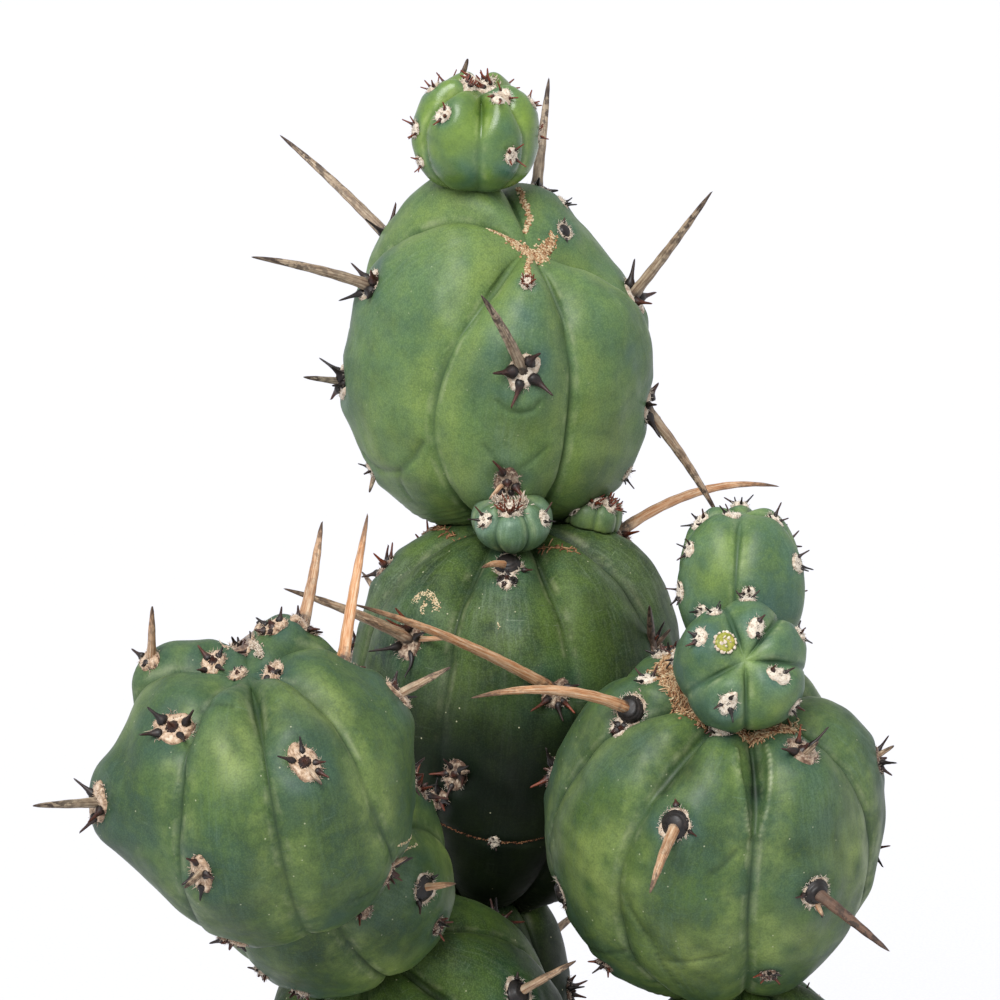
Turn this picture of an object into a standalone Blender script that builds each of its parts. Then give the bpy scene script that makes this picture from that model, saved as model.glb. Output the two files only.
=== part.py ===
"""A potted tall cactus: swollen, ribbed stem joints stacked on a short trunk, two side
branches, five young offsets, long spines on felted areoles, potting soil and a clay pot.

Units are metres; MM turns the millimetre figures in the tables into metres.
+Z is up, the front of the plant faces -Y, and the origin is under the centre of the pot.
An azimuth is measured round a joint's own axis: 0 is its front, 90 its right-hand side.
"""

import math

import bmesh
import bpy
from mathutils import Quaternion, Vector

MM = 0.001
GAP = 0.4 * MM  # room left between pieces that touch

# The pot and its soil, in metres
POT_HEIGHT = 0.220
POT_FOOT_RADIUS = 0.078
POT_RIM_RADIUS = 0.116
POT_NECK_RADIUS = 0.104
RIM_BAND_HEIGHT = 0.038
POT_WALL = 0.008
POT_FLOOR = 0.010
POT_STEPS = 40
DRAIN_RADIUS = 0.006
DRAIN_RING_RADIUS = 0.038
DRAIN_COUNT = 3
SOIL_EDGE_HEIGHT = 0.201
SOIL_MOUND = 0.005

# How finely a joint is meshed
JOINT_COLUMNS_PER_RIB = 6
JOINT_RINGS = 14
OFFSET_COLUMNS_PER_RIB = 4
OFFSET_RINGS = 9

# The shape of a rib between two creases
CREASE_SHARPNESS = 2.2
POLE_BLEND_START = 58.0

# Spines
SPINE_SIDES_RESOLUTION = 1
SPINE_ROOT_RADIUS = 1.9 * MM
SPINE_TIP_RADIUS = 0.25 * MM
SPINE_FULL_GIRTH_LENGTH = 30.0  # in millimetres; shorter spines are thinner
SPINE_PROFILE = ((0.0, 1.0), (0.06, 0.96), (0.14, 0.86), (0.4, 0.76), (0.7, 0.55), (0.9, 0.27), (1.0, 0.0))
CUSHION_RADIUS = 4.2 * MM
CUSHION_THICKNESS = 1.8 * MM
CUSHION_SIDES = 10

COLOURS = {
    "clay": (0.56, 0.24, 0.13),
    "soil": (0.06, 0.038, 0.024),
    "old_skin": (0.115, 0.175, 0.075),
    "skin": (0.135, 0.225, 0.095),
    "young_skin": (0.19, 0.33, 0.06),
    "spine": (0.42, 0.33, 0.24),
}
ROUGHNESS = {"clay": 0.85, "soil": 0.95, "old_skin": 0.5, "skin": 0.45, "young_skin": 0.38, "spine": 0.6}


def smooth_step(value):
    value = min(1.0, max(0.0, value))
    return value * value * (3 - 2 * value)


def lean(toward_azimuth, degrees):
    """The turn that tips +Z by that many degrees towards an azimuth, without twisting."""
    azimuth = math.radians(toward_azimuth)
    return Quaternion((math.cos(azimuth), math.sin(azimuth), 0), math.radians(degrees))


def even_creases(count, first_crest=0.0):
    """Creases halfway between evenly spaced crests, and those crests, in degrees."""
    step = 360.0 / count
    creases = [first_crest + (i - 0.5) * step for i in range(count)]
    return creases, [crease + step / 2 for crease in creases]


class Joint:
    """One swollen joint of the stem: an egg-shaped body with ribs that run from its
    root pole to its growing tip. The two poles lean their own ways, so a joint can bend."""

    def __init__(self, centre, radius, rise, creases, crests, root_lean=(0, 0), tip_lean=(0, 0),
                 groove=(0.07, 0.055, 0.13), dip=0.02, bumps=(), fullness=(1.0, 0.9), colour="skin"):
        self.centre = Vector(centre) * MM
        self.radius = radius * MM
        self.rise = rise * MM
        self.creases = list(creases)
        self.crests = list(crests)
        self.root = lean(*root_lean)
        self.tip = lean(*tip_lean)
        self.groove = groove  # depth at the root, the middle and the tip, as shares of the size
        self.dip = dip  # how far the growing tip is sunk between its ribs, as a share of the size
        self.bumps = list(bumps)  # (azimuth, latitude, height as a share of the size, spread)
        self.fullness = fullness  # below and above the middle: 1 is an ellipse, less is squarer
        self.colour = colour

    def across_rib(self, azimuth):
        """0 on the crest of the rib at this azimuth, 1 in the crease beside it."""
        count = len(self.creases)
        for i in range(count):
            start = self.creases[i]
            width = (self.creases[(i + 1) % count] - start) % 360
            along = (azimuth - start) % 360
            if along <= width:
                crest = (self.crests[i] - start) % 360
                if along < crest:
                    return 1 - along / crest
                return (along - crest) / (width - crest)
        return 1.0

    def azimuth_of(self, share):
        """The azimuth of a share of the way round, with an equal share for each half rib."""
        count = len(self.creases)
        rib, along = divmod(share * count, 1)
        rib = int(rib) % count
        start = self.creases[rib]
        width = (self.creases[(rib + 1) % count] - start) % 360
        crest = (self.crests[rib] - start) % 360
        if along < 0.5:
            return start + crest * along * 2
        return start + crest + (width - crest) * (along * 2 - 1)

    def swell(self, azimuth, latitude):
        """How far the skin stands from the joint's centre there, as a share of the plain egg."""
        root_depth, middle_depth, tip_depth = self.groove
        end_depth = tip_depth if latitude > 0 else root_depth
        depth = middle_depth + (end_depth - middle_depth) * smooth_step(abs(latitude) / 75)
        at_pole = smooth_step((abs(latitude) - POLE_BLEND_START) / (90 - POLE_BLEND_START))
        crease = self.across_rib(azimuth) ** CREASE_SHARPNESS
        share = 1 - depth * crease * (1 - at_pole) - (self.dip if latitude > 0 else 0) * at_pole
        for bump_azimuth, bump_latitude, height, spread in self.bumps:
            turn = math.radians(azimuth - bump_azimuth)
            here, there = math.radians(latitude), math.radians(bump_latitude)
            cosine = math.sin(here) * math.sin(there) + math.cos(here) * math.cos(there) * math.cos(turn)
            apart = math.degrees(math.acos(max(-1.0, min(1.0, cosine))))
            share += height * math.exp(-((apart / spread) ** 2))
        return share

    def point(self, azimuth, latitude, grow=0.0):
        """A point of the skin, or of a skin that stands out further by grow."""
        share = self.swell(azimuth, latitude)
        around, up = math.radians(azimuth), math.radians(latitude)
        fullness = self.fullness[1] if latitude > 0 else self.fullness[0]
        reach = (self.radius + grow) * max(0.0, math.cos(up)) ** fullness
        height = math.copysign((self.rise + grow) * abs(math.sin(up)) ** fullness, latitude)
        local = Vector((reach * math.sin(around), -reach * math.cos(around), height))
        bend = self.root.slerp(self.tip, smooth_step((math.sin(up) + 1) / 2))
        return self.centre + bend @ (local * share)

    def tangent_frame(self, azimuth, latitude):
        """(skin point, outward normal, tangent towards the tip, tangent to the right)."""
        step = 2.0
        here = self.point(azimuth, latitude)
        to_tip = (self.point(azimuth, latitude + step) - self.point(azimuth, latitude - step)).normalized()
        to_right = (self.point(azimuth + step, latitude) - self.point(azimuth - step, latitude)).normalized()
        normal = to_right.cross(to_tip).normalized()
        return here, normal, to_tip, to_tip.cross(normal)

    def stands_proud(self, azimuth, latitude, reach):
        """How far the skin within reach of a spot rises above the flat that touches the spot."""
        here, normal, to_tip, to_right = self.tangent_frame(azimuth, latitude)
        span = math.degrees(reach / self.radius) * 1.2
        highest = 0.0
        for up in (-1, -0.5, 0, 0.5, 1):
            for side in (-1, -0.5, 0, 0.5, 1):
                step = min(60.0, span * side / max(0.2, math.cos(math.radians(latitude))))
                away = self.point(azimuth + step, min(89.0, latitude + span * up)) - here
                height = away.dot(normal)
                if (away - normal * height).length <= reach:
                    highest = max(highest, height)
        return highest


def ribs(creases, crests):
    return {"creases": creases, "crests": crests}


def even_ribs(count, first_crest=0.0):
    creases, crests = even_creases(count, first_crest)
    return ribs(creases, crests)


JOINTS = {
    "stem_base": Joint((3, 0, 248.5), 57.5, 62, **even_ribs(8, 12), fullness=(0.85, 0.85), colour="old_skin"),
    "stem_waist": Joint((-19, 31, 334), 31, 38, **even_ribs(6, 20), root_lean=(-145, 15), tip_lean=(139, 10),
                        colour="old_skin"),
    "stem_body": Joint((-5.5, 46, 417.5), 48.5, 60, **ribs((-26, 22, 65, 110, 155, 200, 240, 284),
                                                          (-2, 43, 86, 132, 178, 220, 262, 310)),
                       root_lean=(139, 12), groove=(0.06, 0.03, 0.1), fullness=(0.9, 0.78),
                       bumps=((105, 40, 0.09, 34),), colour="old_skin"),
    "stem_top": Joint((-9.5, 67.5, 522), 46, 51.5, **ribs((-25, 29, 92, 200, 260), (3, 76, 160, 230, 283)),
                      root_lean=(-170, 10), tip_lean=(29, 26), groove=(0.08, 0.05, 0.16),
                      dip=0.15, fullness=(0.85, 0.95),
                      bumps=((-140, 45, 0.16, 28), (118, 56, -0.13, 25), (95, 70, -0.05, 20), (110, -30, 0.03, 30))),
    "left_branch_lower": Joint((-31, -30, 342), 43.5, 46, **ribs((46, 108, 170, 232, 292, 348),
                                                                 (78, 139, 201, 262, 320, 377)),
                               root_lean=(-49, 25), tip_lean=(-45, 30), colour="old_skin"),
    "left_branch_middle": Joint((-56.5, -55.5, 409), 34.5, 38, **ribs((15, 95, 165, 235, 305),
                                                                        (58, 130, 200, 270, 340)),
                                root_lean=(-40, 35), tip_lean=(-13, 55)),
    "left_branch_tip": Joint((-70, -114, 455), 39, 41, **ribs((-34, 10, 55, 125, 182, 252),
                                                              (-14, 30, 98, 150, 225, 280)),
                             root_lean=(-13, 60), tip_lean=(-85, 8), groove=(0.07, 0.06, 0.2), dip=0.2,
                             bumps=((-86, 11, 0.16, 17), (-122, 46, 0.2, 17), (111, 20, 0.1, 17),
                                    (150, 62, 0.14, 17), (-80, -28, -0.07, 25))),
    "right_branch_lower": Joint((62.5, -33, 317.5), 43.5, 52, **even_ribs(6, 25), root_lean=(62, 40),
                                tip_lean=(-40, 5), fullness=(0.9, 1.15), colour="old_skin"),
    "right_branch_upper": Joint((51.5, -28, 410), 48, 50.5, **ribs((-37, 10, 70, 128, 180, 230, 280),
                                                                   (-18, 38, 99, 155, 205, 255, 300)),
                                root_lean=(-60, 8), tip_lean=(28, 19), groove=(0.08, 0.04, 0.14),
                                dip=0.12, fullness=(1.0, 0.85), bumps=((105, 35, 0.015, 35),)),
    "crown_offset": Joint((-16, 65.5, 591), 18.2, 17.2, **ribs((4, 58, 125, 185, 245, 298),
                                                                (33, 95, 155, 215, 270, 323)),
                          root_lean=(180, 10), tip_lean=(30, 14), groove=(0.06, 0.07, 0.24),
                          dip=0.2, fullness=(0.85, 1.1), colour="young_skin"),
    "shoulder_offset_front": Joint((-5.5, 28, 484), 12, 9, **even_ribs(7, 0), tip_lean=(0, 15),
                                   groove=(0.08, 0.08, 0.16), dip=0.12),
    "shoulder_offset_right": Joint((18.5, 50, 477.5), 8.5, 8.5, **even_ribs(6, 30), tip_lean=(60, 15),
                                   groove=(0.08, 0.1, 0.2), dip=0.15),
    "right_offset_front": Joint((57.5, -48.5, 466.5), 18.5, 17.5, **ribs((3, 88, 142, 198, 298),
                                                                         (50, 118, 168, 242, 335)),
                                root_lean=(0, 50), tip_lean=(1, 62), groove=(0.05, 0.07, 0.2), dip=0.18),
    "right_offset_back": Joint((59, -13, 478), 18.5, 24, **ribs((-8, 92, 152, 208, 265), (55, 125, 180, 235, 300)),
                               root_lean=(180, 10), tip_lean=(180, 0), groove=(0.05, 0.06, 0.14),
                               dip=0.12),
}

OFFSETS = [name for name in JOINTS if "_offset" in name]

# Which joints each joint is pressed against, so its own foot is shaped to them
SEATED_ON = {
    "stem_waist": ("stem_base",),
    "stem_body": ("stem_waist",),
    "stem_top": ("stem_body",),
    "left_branch_lower": ("stem_base", "stem_waist"),
    "left_branch_middle": ("left_branch_lower",),
    "left_branch_tip": ("left_branch_middle",),
    "right_branch_lower": ("stem_base",),
    "right_branch_upper": ("right_branch_lower", "stem_body"),
    "crown_offset": ("stem_top",),
    "shoulder_offset_front": ("stem_body", "stem_top"),
    "shoulder_offset_right": ("stem_body", "stem_top"),
    "right_offset_back": ("right_branch_upper",),
    "right_offset_front": ("right_branch_upper", "right_offset_back"),
}


# The long spines. Each row: azimuth and latitude of its areole, length in millimetres, how far
# it leans from the skin's normal, which way (0 towards the joint's tip, 90 to the right), and
# how far its middle arches upwards in millimetres
SPINES = {
    "stem_base": ((15, 10, 40, 15, 20, 1), (-75, 5, 34, 10, 60, 0), (102, 20, 46, 20, -30, 2),
                  (192, 8, 42, 15, 150, 0), (-120, 25, 38, 20, 10, 1)),
    "stem_waist": ((140, 5, 30, 15, 30, 1), (-110, 0, 26, 20, -140, 0)),
    "stem_body": ((-45, 27, 44, 21, -59, 1), (15, 16, 84, 73, -64, 2), (66, 21, 20, 75, -28, 0),
                  (-3, 56, 15, 50, -146, 1), (122, 48, 58, 45, 170, 6), (178, 20, 50, 20, 30, 2),
                  (-138, 5, 44, 25, -60, 1)),
    "stem_top": ((-81, 24, 37, 11, 115, 1), (-81, -7, 13, 32, 53, 0), (105, 27, 42, 33, 6, 0),
                 (81, -8, 42, 56, 165, 1), (6, 25, 36, 62, -41, 1), (-126, 20, 52, 17, -93, 1),
                 (176, 48, 38, 26, 155, 0), (150, -5, 36, 20, 120, 0), (-150, -15, 40, 20, -150, 1)),
    "left_branch_lower": ((71, 27, 20, 15, 102, 0), (10, 0, 34, 25, 160, 0), (-42, 5, 30, 15, -90, 1)),
    "left_branch_middle": ((62, 17, 14, 31, 20, 0), (-130, 15, 32, 20, -60, 1)),
    "left_branch_tip": ((-79, 14, 20, 17, 26, 0), (-119, 50, 16, 45, -18, 0), (107, 21, 17, 31, -84, 0),
                        (143, 56, 34, 47, 97, 0), (120, 43, 42, 7, 36, 0), (-165, -20, 28, 30, 178, 1),
                        (-23, 11, 11, 20, 40, 0)),
    "right_branch_lower": ((25, 5, 34, 20, 150, 0), (85, -5, 30, 15, 160, 1), (-165, -12, 32, 15, 170, 1)),
    "right_branch_upper": ((-22, 32, 28, 39, 153, 1), (33, 6, 32, 5, 136, 0), (-88, 52, 54, 32, -178, 4),
                           (155, -8, 42, 20, 150, 2), (178, 32, 34, 12, 0, 1)),
    "crown_offset": ((-145, 58, 5, 60, 0, 0),),
}


def link(obj, collection):
    collection.objects.link(obj)
    return obj


def material_named(name):
    material = bpy.data.materials.get(name)
    if material is None:
        material = bpy.data.materials.new(name)
        material.use_nodes = True
        shader = material.node_tree.nodes["Principled BSDF"]
        shader.inputs["Base Color"].default_value = (*COLOURS[name], 1)
        shader.inputs["Roughness"].default_value = ROUGHNESS[name]
        shader.inputs["Metallic"].default_value = 0.0
        material.diffuse_color = (*COLOURS[name], 1)
    return material


def hide_cutter(obj):
    obj.hide_render = True
    obj.display_type = "WIRE"
    return obj


def add_boolean(obj, operation, other):
    modifier = obj.modifiers.new(f"{operation.lower()}_{other.name}", "BOOLEAN")
    modifier.operation = operation
    modifier.solver = "EXACT"
    modifier.object = other


def joint_object(name, joint, collection, grow=0.0):
    """A ball whose columns are dealt out rib by rib and whose vertices are moved to the skin."""
    is_offset = name.split("_cutter")[0] in OFFSETS
    per_rib = OFFSET_COLUMNS_PER_RIB if is_offset else JOINT_COLUMNS_PER_RIB
    rings = OFFSET_RINGS if is_offset else JOINT_RINGS
    builder = bmesh.new()
    bmesh.ops.create_uvsphere(builder, u_segments=per_rib * len(joint.creases), v_segments=rings, radius=1)
    for vertex in builder.verts:
        latitude = math.degrees(math.asin(max(-1.0, min(1.0, vertex.co.z))))
        share = (math.atan2(vertex.co.y, vertex.co.x) / math.tau) % 1
        vertex.co = joint.point(joint.azimuth_of(round(share, 6) % 1), latitude, grow)
    bmesh.ops.triangulate(builder, faces=builder.faces)
    bmesh.ops.recalc_face_normals(builder, faces=builder.faces)
    mesh = bpy.data.meshes.new(name)
    builder.to_mesh(mesh)
    builder.free()
    mesh.shade_smooth()
    mesh.materials.append(material_named(joint.colour))
    return link(bpy.data.objects.new(name, mesh), collection)


def spine_object(name, joint, spine, collection, cutters):
    """A tapered, slightly arched thorn rising out of the felted cushion of its areole."""
    azimuth, latitude, length, lean_angle, turn, arch = spine
    foot, normal, to_tip, to_right = joint.tangent_frame(azimuth, latitude)
    root_radius = SPINE_ROOT_RADIUS * (0.4 + 0.6 * min(1.0, length / SPINE_FULL_GIRTH_LENGTH))
    clear = GAP + 0.3 * MM + joint.stands_proud(azimuth, latitude, CUSHION_RADIUS * 1.3)
    sideways = to_tip * math.cos(math.radians(turn)) + to_right * math.sin(math.radians(turn))
    tilt = math.radians(lean_angle)
    along = (normal * math.cos(tilt) + sideways * math.sin(tilt)).normalized()
    arch_way = Vector((0, 0, 1)) - along * along.z
    arch_way = arch_way.normalized() if arch_way.length > 0.1 else normal
    start = foot + normal * (clear + root_radius * math.sin(tilt) + 0.1 * MM)

    curve = bpy.data.curves.new(name, "CURVE")
    curve.dimensions = "3D"
    curve.bevel_depth = 1.0
    curve.bevel_resolution = SPINE_SIDES_RESOLUTION
    curve.use_fill_caps = True
    spline = curve.splines.new("POLY")
    spline.points.add(len(SPINE_PROFILE) - 1)
    for point, (share, thickness) in zip(spline.points, SPINE_PROFILE):
        place = start + along * (length * MM * share) + arch_way * (4 * arch * MM * share * (1 - share))
        point.co = (*place, 1)
        point.radius = SPINE_TIP_RADIUS + (root_radius - SPINE_TIP_RADIUS) * thickness
    shaft = link(bpy.data.objects.new(name + "_curve", curve), collection)
    bpy.context.view_layer.update()
    evaluated = shaft.evaluated_get(bpy.context.evaluated_depsgraph_get())
    mesh = bpy.data.meshes.new_from_object(evaluated)
    bpy.data.objects.remove(shaft)
    builder = bmesh.new()
    builder.from_mesh(mesh)
    bmesh.ops.remove_doubles(builder, verts=builder.verts, dist=0.01 * MM)
    bmesh.ops.recalc_face_normals(builder, faces=builder.faces)
    builder.to_mesh(mesh)
    builder.free()
    mesh.name = name
    mesh.materials.clear()
    mesh.materials.append(material_named("spine"))
    mesh.shade_smooth()
    thorn = link(bpy.data.objects.new(name, mesh), collection)

    builder = bmesh.new()
    bmesh.ops.create_cone(builder, cap_ends=True, segments=CUSHION_SIDES, radius1=CUSHION_RADIUS,
                          radius2=CUSHION_RADIUS * 0.72, depth=CUSHION_THICKNESS)
    cushion_mesh = bpy.data.meshes.new(name + "_cushion")
    builder.to_mesh(cushion_mesh)
    builder.free()
    cushion = hide_cutter(link(bpy.data.objects.new(name + "_cushion", cushion_mesh), cutters))
    cushion.rotation_mode = "QUATERNION"
    cushion.rotation_quaternion = normal.to_track_quat("Z", "Y")
    cushion.location = foot + normal * (clear + CUSHION_THICKNESS / 2)
    add_boolean(thorn, "UNION", cushion)
    return thorn


def turned(name, outline, collection, colour):
    """A closed outline in the XZ plane turned round the Z axis."""
    mesh = bpy.data.meshes.new(name)
    count = len(outline)
    mesh.from_pydata([(x, 0, z) for x, z in outline], [(i, i + 1) for i in range(count - 1)], [])
    mesh.materials.append(material_named(colour))
    obj = link(bpy.data.objects.new(name, mesh), collection)
    screw = obj.modifiers.new("turn", "SCREW")
    screw.axis = "Z"
    screw.steps = POT_STEPS
    screw.render_steps = POT_STEPS
    screw.use_merge_vertices = True
    screw.merge_threshold = 0.00005
    return obj


def pot_wall_radius(height):
    """The outer radius of the pot's plain wall, below its rim band."""
    share = height / (POT_HEIGHT - RIM_BAND_HEIGHT)
    return POT_FOOT_RADIUS + (POT_NECK_RADIUS - POT_FOOT_RADIUS) * share


def add_pot(collection, cutters):
    band_foot = POT_HEIGHT - RIM_BAND_HEIGHT
    chamfer = 0.003
    outline = (
        (0, POT_FLOOR),
        (pot_wall_radius(POT_FLOOR) - POT_WALL - 0.004, POT_FLOOR),
        (pot_wall_radius(POT_FLOOR) - POT_WALL, POT_FLOOR + 0.004),
        (pot_wall_radius(band_foot) - POT_WALL, band_foot),
        (POT_RIM_RADIUS - POT_WALL - chamfer, POT_HEIGHT - 0.004),
        (POT_RIM_RADIUS - POT_WALL, POT_HEIGHT),
        (POT_RIM_RADIUS - chamfer, POT_HEIGHT),
        (POT_RIM_RADIUS, POT_HEIGHT - chamfer),
        (POT_RIM_RADIUS - 0.0025, band_foot + chamfer),
        (POT_RIM_RADIUS - 0.0055, band_foot),
        (pot_wall_radius(band_foot), band_foot),
        (POT_FOOT_RADIUS, chamfer),
        (POT_FOOT_RADIUS - chamfer, 0),
        (0, 0),
    )
    pot = turned("pot", outline, collection, "clay")
    for i in range(DRAIN_COUNT):
        angle = math.tau * i / DRAIN_COUNT
        builder = bmesh.new()
        bmesh.ops.create_cone(builder, cap_ends=True, segments=16, radius1=DRAIN_RADIUS, radius2=DRAIN_RADIUS,
                              depth=POT_FLOOR * 3)
        mesh = bpy.data.meshes.new(f"drain_{i + 1}")
        builder.to_mesh(mesh)
        builder.free()
        drain = hide_cutter(link(bpy.data.objects.new(f"drain_{i + 1}", mesh), cutters))
        drain.location = (DRAIN_RING_RADIUS * math.sin(angle), -DRAIN_RING_RADIUS * math.cos(angle), POT_FLOOR / 2)
        add_boolean(pot, "DIFFERENCE", drain)
    return pot


def add_soil(collection):
    """The potting mix, filling the pot to just under its rim and mounded at the stem."""
    foot, band_foot = POT_FLOOR + GAP, POT_HEIGHT - RIM_BAND_HEIGHT
    inner_foot = pot_wall_radius(POT_FLOOR) - POT_WALL
    inner_band = pot_wall_radius(band_foot) - POT_WALL - GAP
    rim_share = (SOIL_EDGE_HEIGHT - band_foot) / (POT_HEIGHT - 0.004 - band_foot)
    inner_top = inner_band + (POT_RIM_RADIUS - POT_WALL - 0.003 - GAP - inner_band) * rim_share
    outline = (
        (0, SOIL_EDGE_HEIGHT + SOIL_MOUND),
        (inner_top * 0.45, SOIL_EDGE_HEIGHT + SOIL_MOUND * 0.8),
        (inner_top * 0.8, SOIL_EDGE_HEIGHT + SOIL_MOUND * 0.25),
        (inner_top, SOIL_EDGE_HEIGHT),
        (inner_band, band_foot - GAP),
        (inner_foot - GAP, POT_FLOOR + 0.004 + GAP),
        (inner_foot - 0.004 - GAP, foot),
        (0, foot),
    )
    return turned("soil", outline, collection, "soil")


def main():
    for obj in list(bpy.data.objects):
        bpy.data.objects.remove(obj)
    parts = bpy.data.collections.new("potted_tall_cactus")
    cutters = bpy.data.collections.new("cutters")
    for collection in (parts, cutters):
        bpy.context.scene.collection.children.link(collection)

    add_pot(parts, cutters)
    soil = add_soil(parts)
    grown = {}
    for name in ("stem_base", *sorted({parent for parents in SEATED_ON.values() for parent in parents})):
        if name not in grown:
            grown[name] = hide_cutter(joint_object(name + "_cutter", JOINTS[name], cutters, grow=GAP + 0.2 * MM))
    add_boolean(soil, "DIFFERENCE", grown["stem_base"])
    for name, joint in JOINTS.items():
        obj = joint_object(name, joint, parts)
        for parent in SEATED_ON.get(name, ()):
            add_boolean(obj, "DIFFERENCE", grown[parent])
    for name, spines in SPINES.items():
        for number, spine in enumerate(spines, 1):
            spine_object(f"{name}_spine_{number}", JOINTS[name], spine, parts, cutters)


if __name__ == "__main__":
    main()
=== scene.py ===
"""The looks of a potted tall cactus: two side branches, five young offsets, and a clay pot.

Units are metres, +Z is up and the plant's front faces -Y. MM turns millimetres into metres.
An azimuth is measured round a stem joint's own axis: 0 is its front, 90 its right-hand side.
A latitude runs from -90 at a joint's root to 90 at its growing tip.
"""

import math

import bpy
import numpy as np
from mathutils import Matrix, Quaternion, Vector
from mathutils.bvhtree import BVHTree


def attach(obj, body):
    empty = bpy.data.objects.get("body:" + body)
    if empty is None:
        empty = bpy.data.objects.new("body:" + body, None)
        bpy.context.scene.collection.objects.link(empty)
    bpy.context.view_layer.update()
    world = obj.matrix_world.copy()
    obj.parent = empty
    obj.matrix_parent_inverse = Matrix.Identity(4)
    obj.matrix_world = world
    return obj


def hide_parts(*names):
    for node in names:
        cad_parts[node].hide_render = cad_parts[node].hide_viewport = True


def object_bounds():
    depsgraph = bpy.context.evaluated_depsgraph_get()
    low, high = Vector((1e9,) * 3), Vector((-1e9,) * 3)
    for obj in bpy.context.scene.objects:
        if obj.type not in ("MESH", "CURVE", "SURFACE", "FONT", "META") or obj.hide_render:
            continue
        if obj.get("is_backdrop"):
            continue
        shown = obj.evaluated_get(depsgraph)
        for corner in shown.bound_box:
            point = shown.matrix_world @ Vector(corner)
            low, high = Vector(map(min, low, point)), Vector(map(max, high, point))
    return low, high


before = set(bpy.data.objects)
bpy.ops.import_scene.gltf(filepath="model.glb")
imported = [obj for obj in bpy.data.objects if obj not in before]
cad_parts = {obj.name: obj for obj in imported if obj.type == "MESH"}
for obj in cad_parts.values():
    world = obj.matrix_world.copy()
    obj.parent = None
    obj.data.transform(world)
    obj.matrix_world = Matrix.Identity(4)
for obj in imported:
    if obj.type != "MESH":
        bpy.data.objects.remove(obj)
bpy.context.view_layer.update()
MM = 0.001


# ------------------------------------------------------------------------------------------
# The pot
# A plain flowerpot of unglazed red earthenware, thrown on a wheel and fired, with a thick
# band at its rim and three drain holes pushed through its floor.

POT_HEIGHT = 220 * MM
POT_FOOT_RADIUS = 78 * MM
POT_NECK_RADIUS = 104 * MM  # where the wall meets the rim band
POT_RIM_RADIUS = 116 * MM
BAND_FOOT = 182 * MM
POT_WALL = 8 * MM
POT_FLOOR = 10 * MM
THROWING_PITCH = 5.2 * MM  # from one finger ridge to the next
THROWING_HEIGHT = 0.11 * MM


def linear(hex_colour):
    """An sRGB hex colour as the linear values that a shader takes."""
    parts = [int(hex_colour[i:i + 2], 16) / 255 for i in (1, 3, 5)]
    return (*[c / 12.92 if c <= 0.04045 else ((c + 0.055) / 1.055) ** 2.4 for c in parts], 1.0)


def new_material(name):
    material = bpy.data.materials.new(name)
    material.use_nodes = True
    return material


def add_node(material, kind, *first_inputs, **values):
    """The outputs of one shader node. A value fills the socket or the setting of its name, and
    an output of another node is linked. A Mix node mixes its colours here."""
    tree = material.node_tree
    node = tree.nodes.get("Principled BSDF") if kind == "Principled" else None
    node = node or tree.nodes.new("ShaderNode" + kind)
    if kind == "Mix":
        node.data_type = "RGBA"
    sockets = {socket.identifier.replace(" ", "_"): socket for socket in node.inputs}
    for key, value in {**dict(zip(sockets, first_inputs)), **values}.items():
        if isinstance(value, bpy.types.NodeSocket):
            tree.links.new(value, sockets[key])
        elif key in sockets:
            sockets[key].default_value = value
        elif key == "stops":
            while len(node.color_ramp.elements) < len(value):
                node.color_ramp.elements.new(0.5)
            for element, (position, colour) in zip(node.color_ramp.elements, value):
                element.position = position
                element.color = linear(colour)
        else:
            setattr(node, key, value)
    return node.outputs


def place_object(name, contents):
    thing = bpy.data.objects.new(name, contents)
    bpy.context.scene.collection.objects.link(thing)
    return thing


def make_piece(name, points, faces, material, slot, replaced=(), **painted):
    """A mesh piece of the object, with one painted value or vector for each point."""
    mesh = bpy.data.meshes.new(name)
    mesh.from_pydata(np.asarray(points, float).tolist(), [], faces)
    mesh.shade_smooth()
    mesh.materials.append(material)
    for label, values in painted.items():
        values = np.asarray(values, np.float32)
        kind = "FLOAT" if values.ndim == 1 else "FLOAT_VECTOR"
        attribute = mesh.attributes.new(label, kind, "POINT")
        attribute.data.foreach_set("value" if values.ndim == 1 else "vector", values.ravel())
    piece = place_object(name, mesh)
    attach(piece, "root")
    if replaced:
        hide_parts(*replaced)
    return piece


def unit(vector):
    return vector / np.linalg.norm(vector)


def bell(distance, width):
    return np.exp(-(distance / width) ** 2)


def wall_radius(height):
    """The outer radius of the pot's plain wall, below its rim band."""
    return POT_FOOT_RADIUS + (POT_NECK_RADIUS - POT_FOOT_RADIUS) * height / BAND_FOOT


def rounded(outline, fillet, spacing):
    """An outline of (radius, height) with softened corners, and points about that far apart."""
    outline = [np.array(corner, float) for corner in outline]
    soft = [outline[0]]
    for before, corner, after in zip(outline, outline[1:], outline[2:]):
        start, end = (corner + unit(way) * min(fillet, np.linalg.norm(way) * 0.45)
                      for way in (before - corner, after - corner))
        for share in np.linspace(0, 1, 6):
            soft.append((1 - share) ** 2 * start + 2 * share * (1 - share) * corner + share ** 2 * end)
    soft.append(outline[-1])
    dense = [soft[0]]
    for here, there in zip(soft, soft[1:]):
        count = max(1, math.ceil(np.linalg.norm(there - here) / spacing))
        dense.extend(here + (there - here) * (i + 1) / count for i in range(count))
    return np.array(dense)


def undulation(points, size, seed):
    """A smooth random field, about as large as 1, whose waves are near that size."""
    chance = np.random.default_rng(seed)
    field = np.zeros(len(points))
    waves = 14
    for _ in range(waves):
        way = unit(chance.normal(size=3))
        wave = size * chance.uniform(0.7, 1.8)
        field += np.sin(points @ way * (math.tau / wave) + chance.uniform(0, math.tau))
    return field / math.sqrt(waves / 2)


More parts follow.
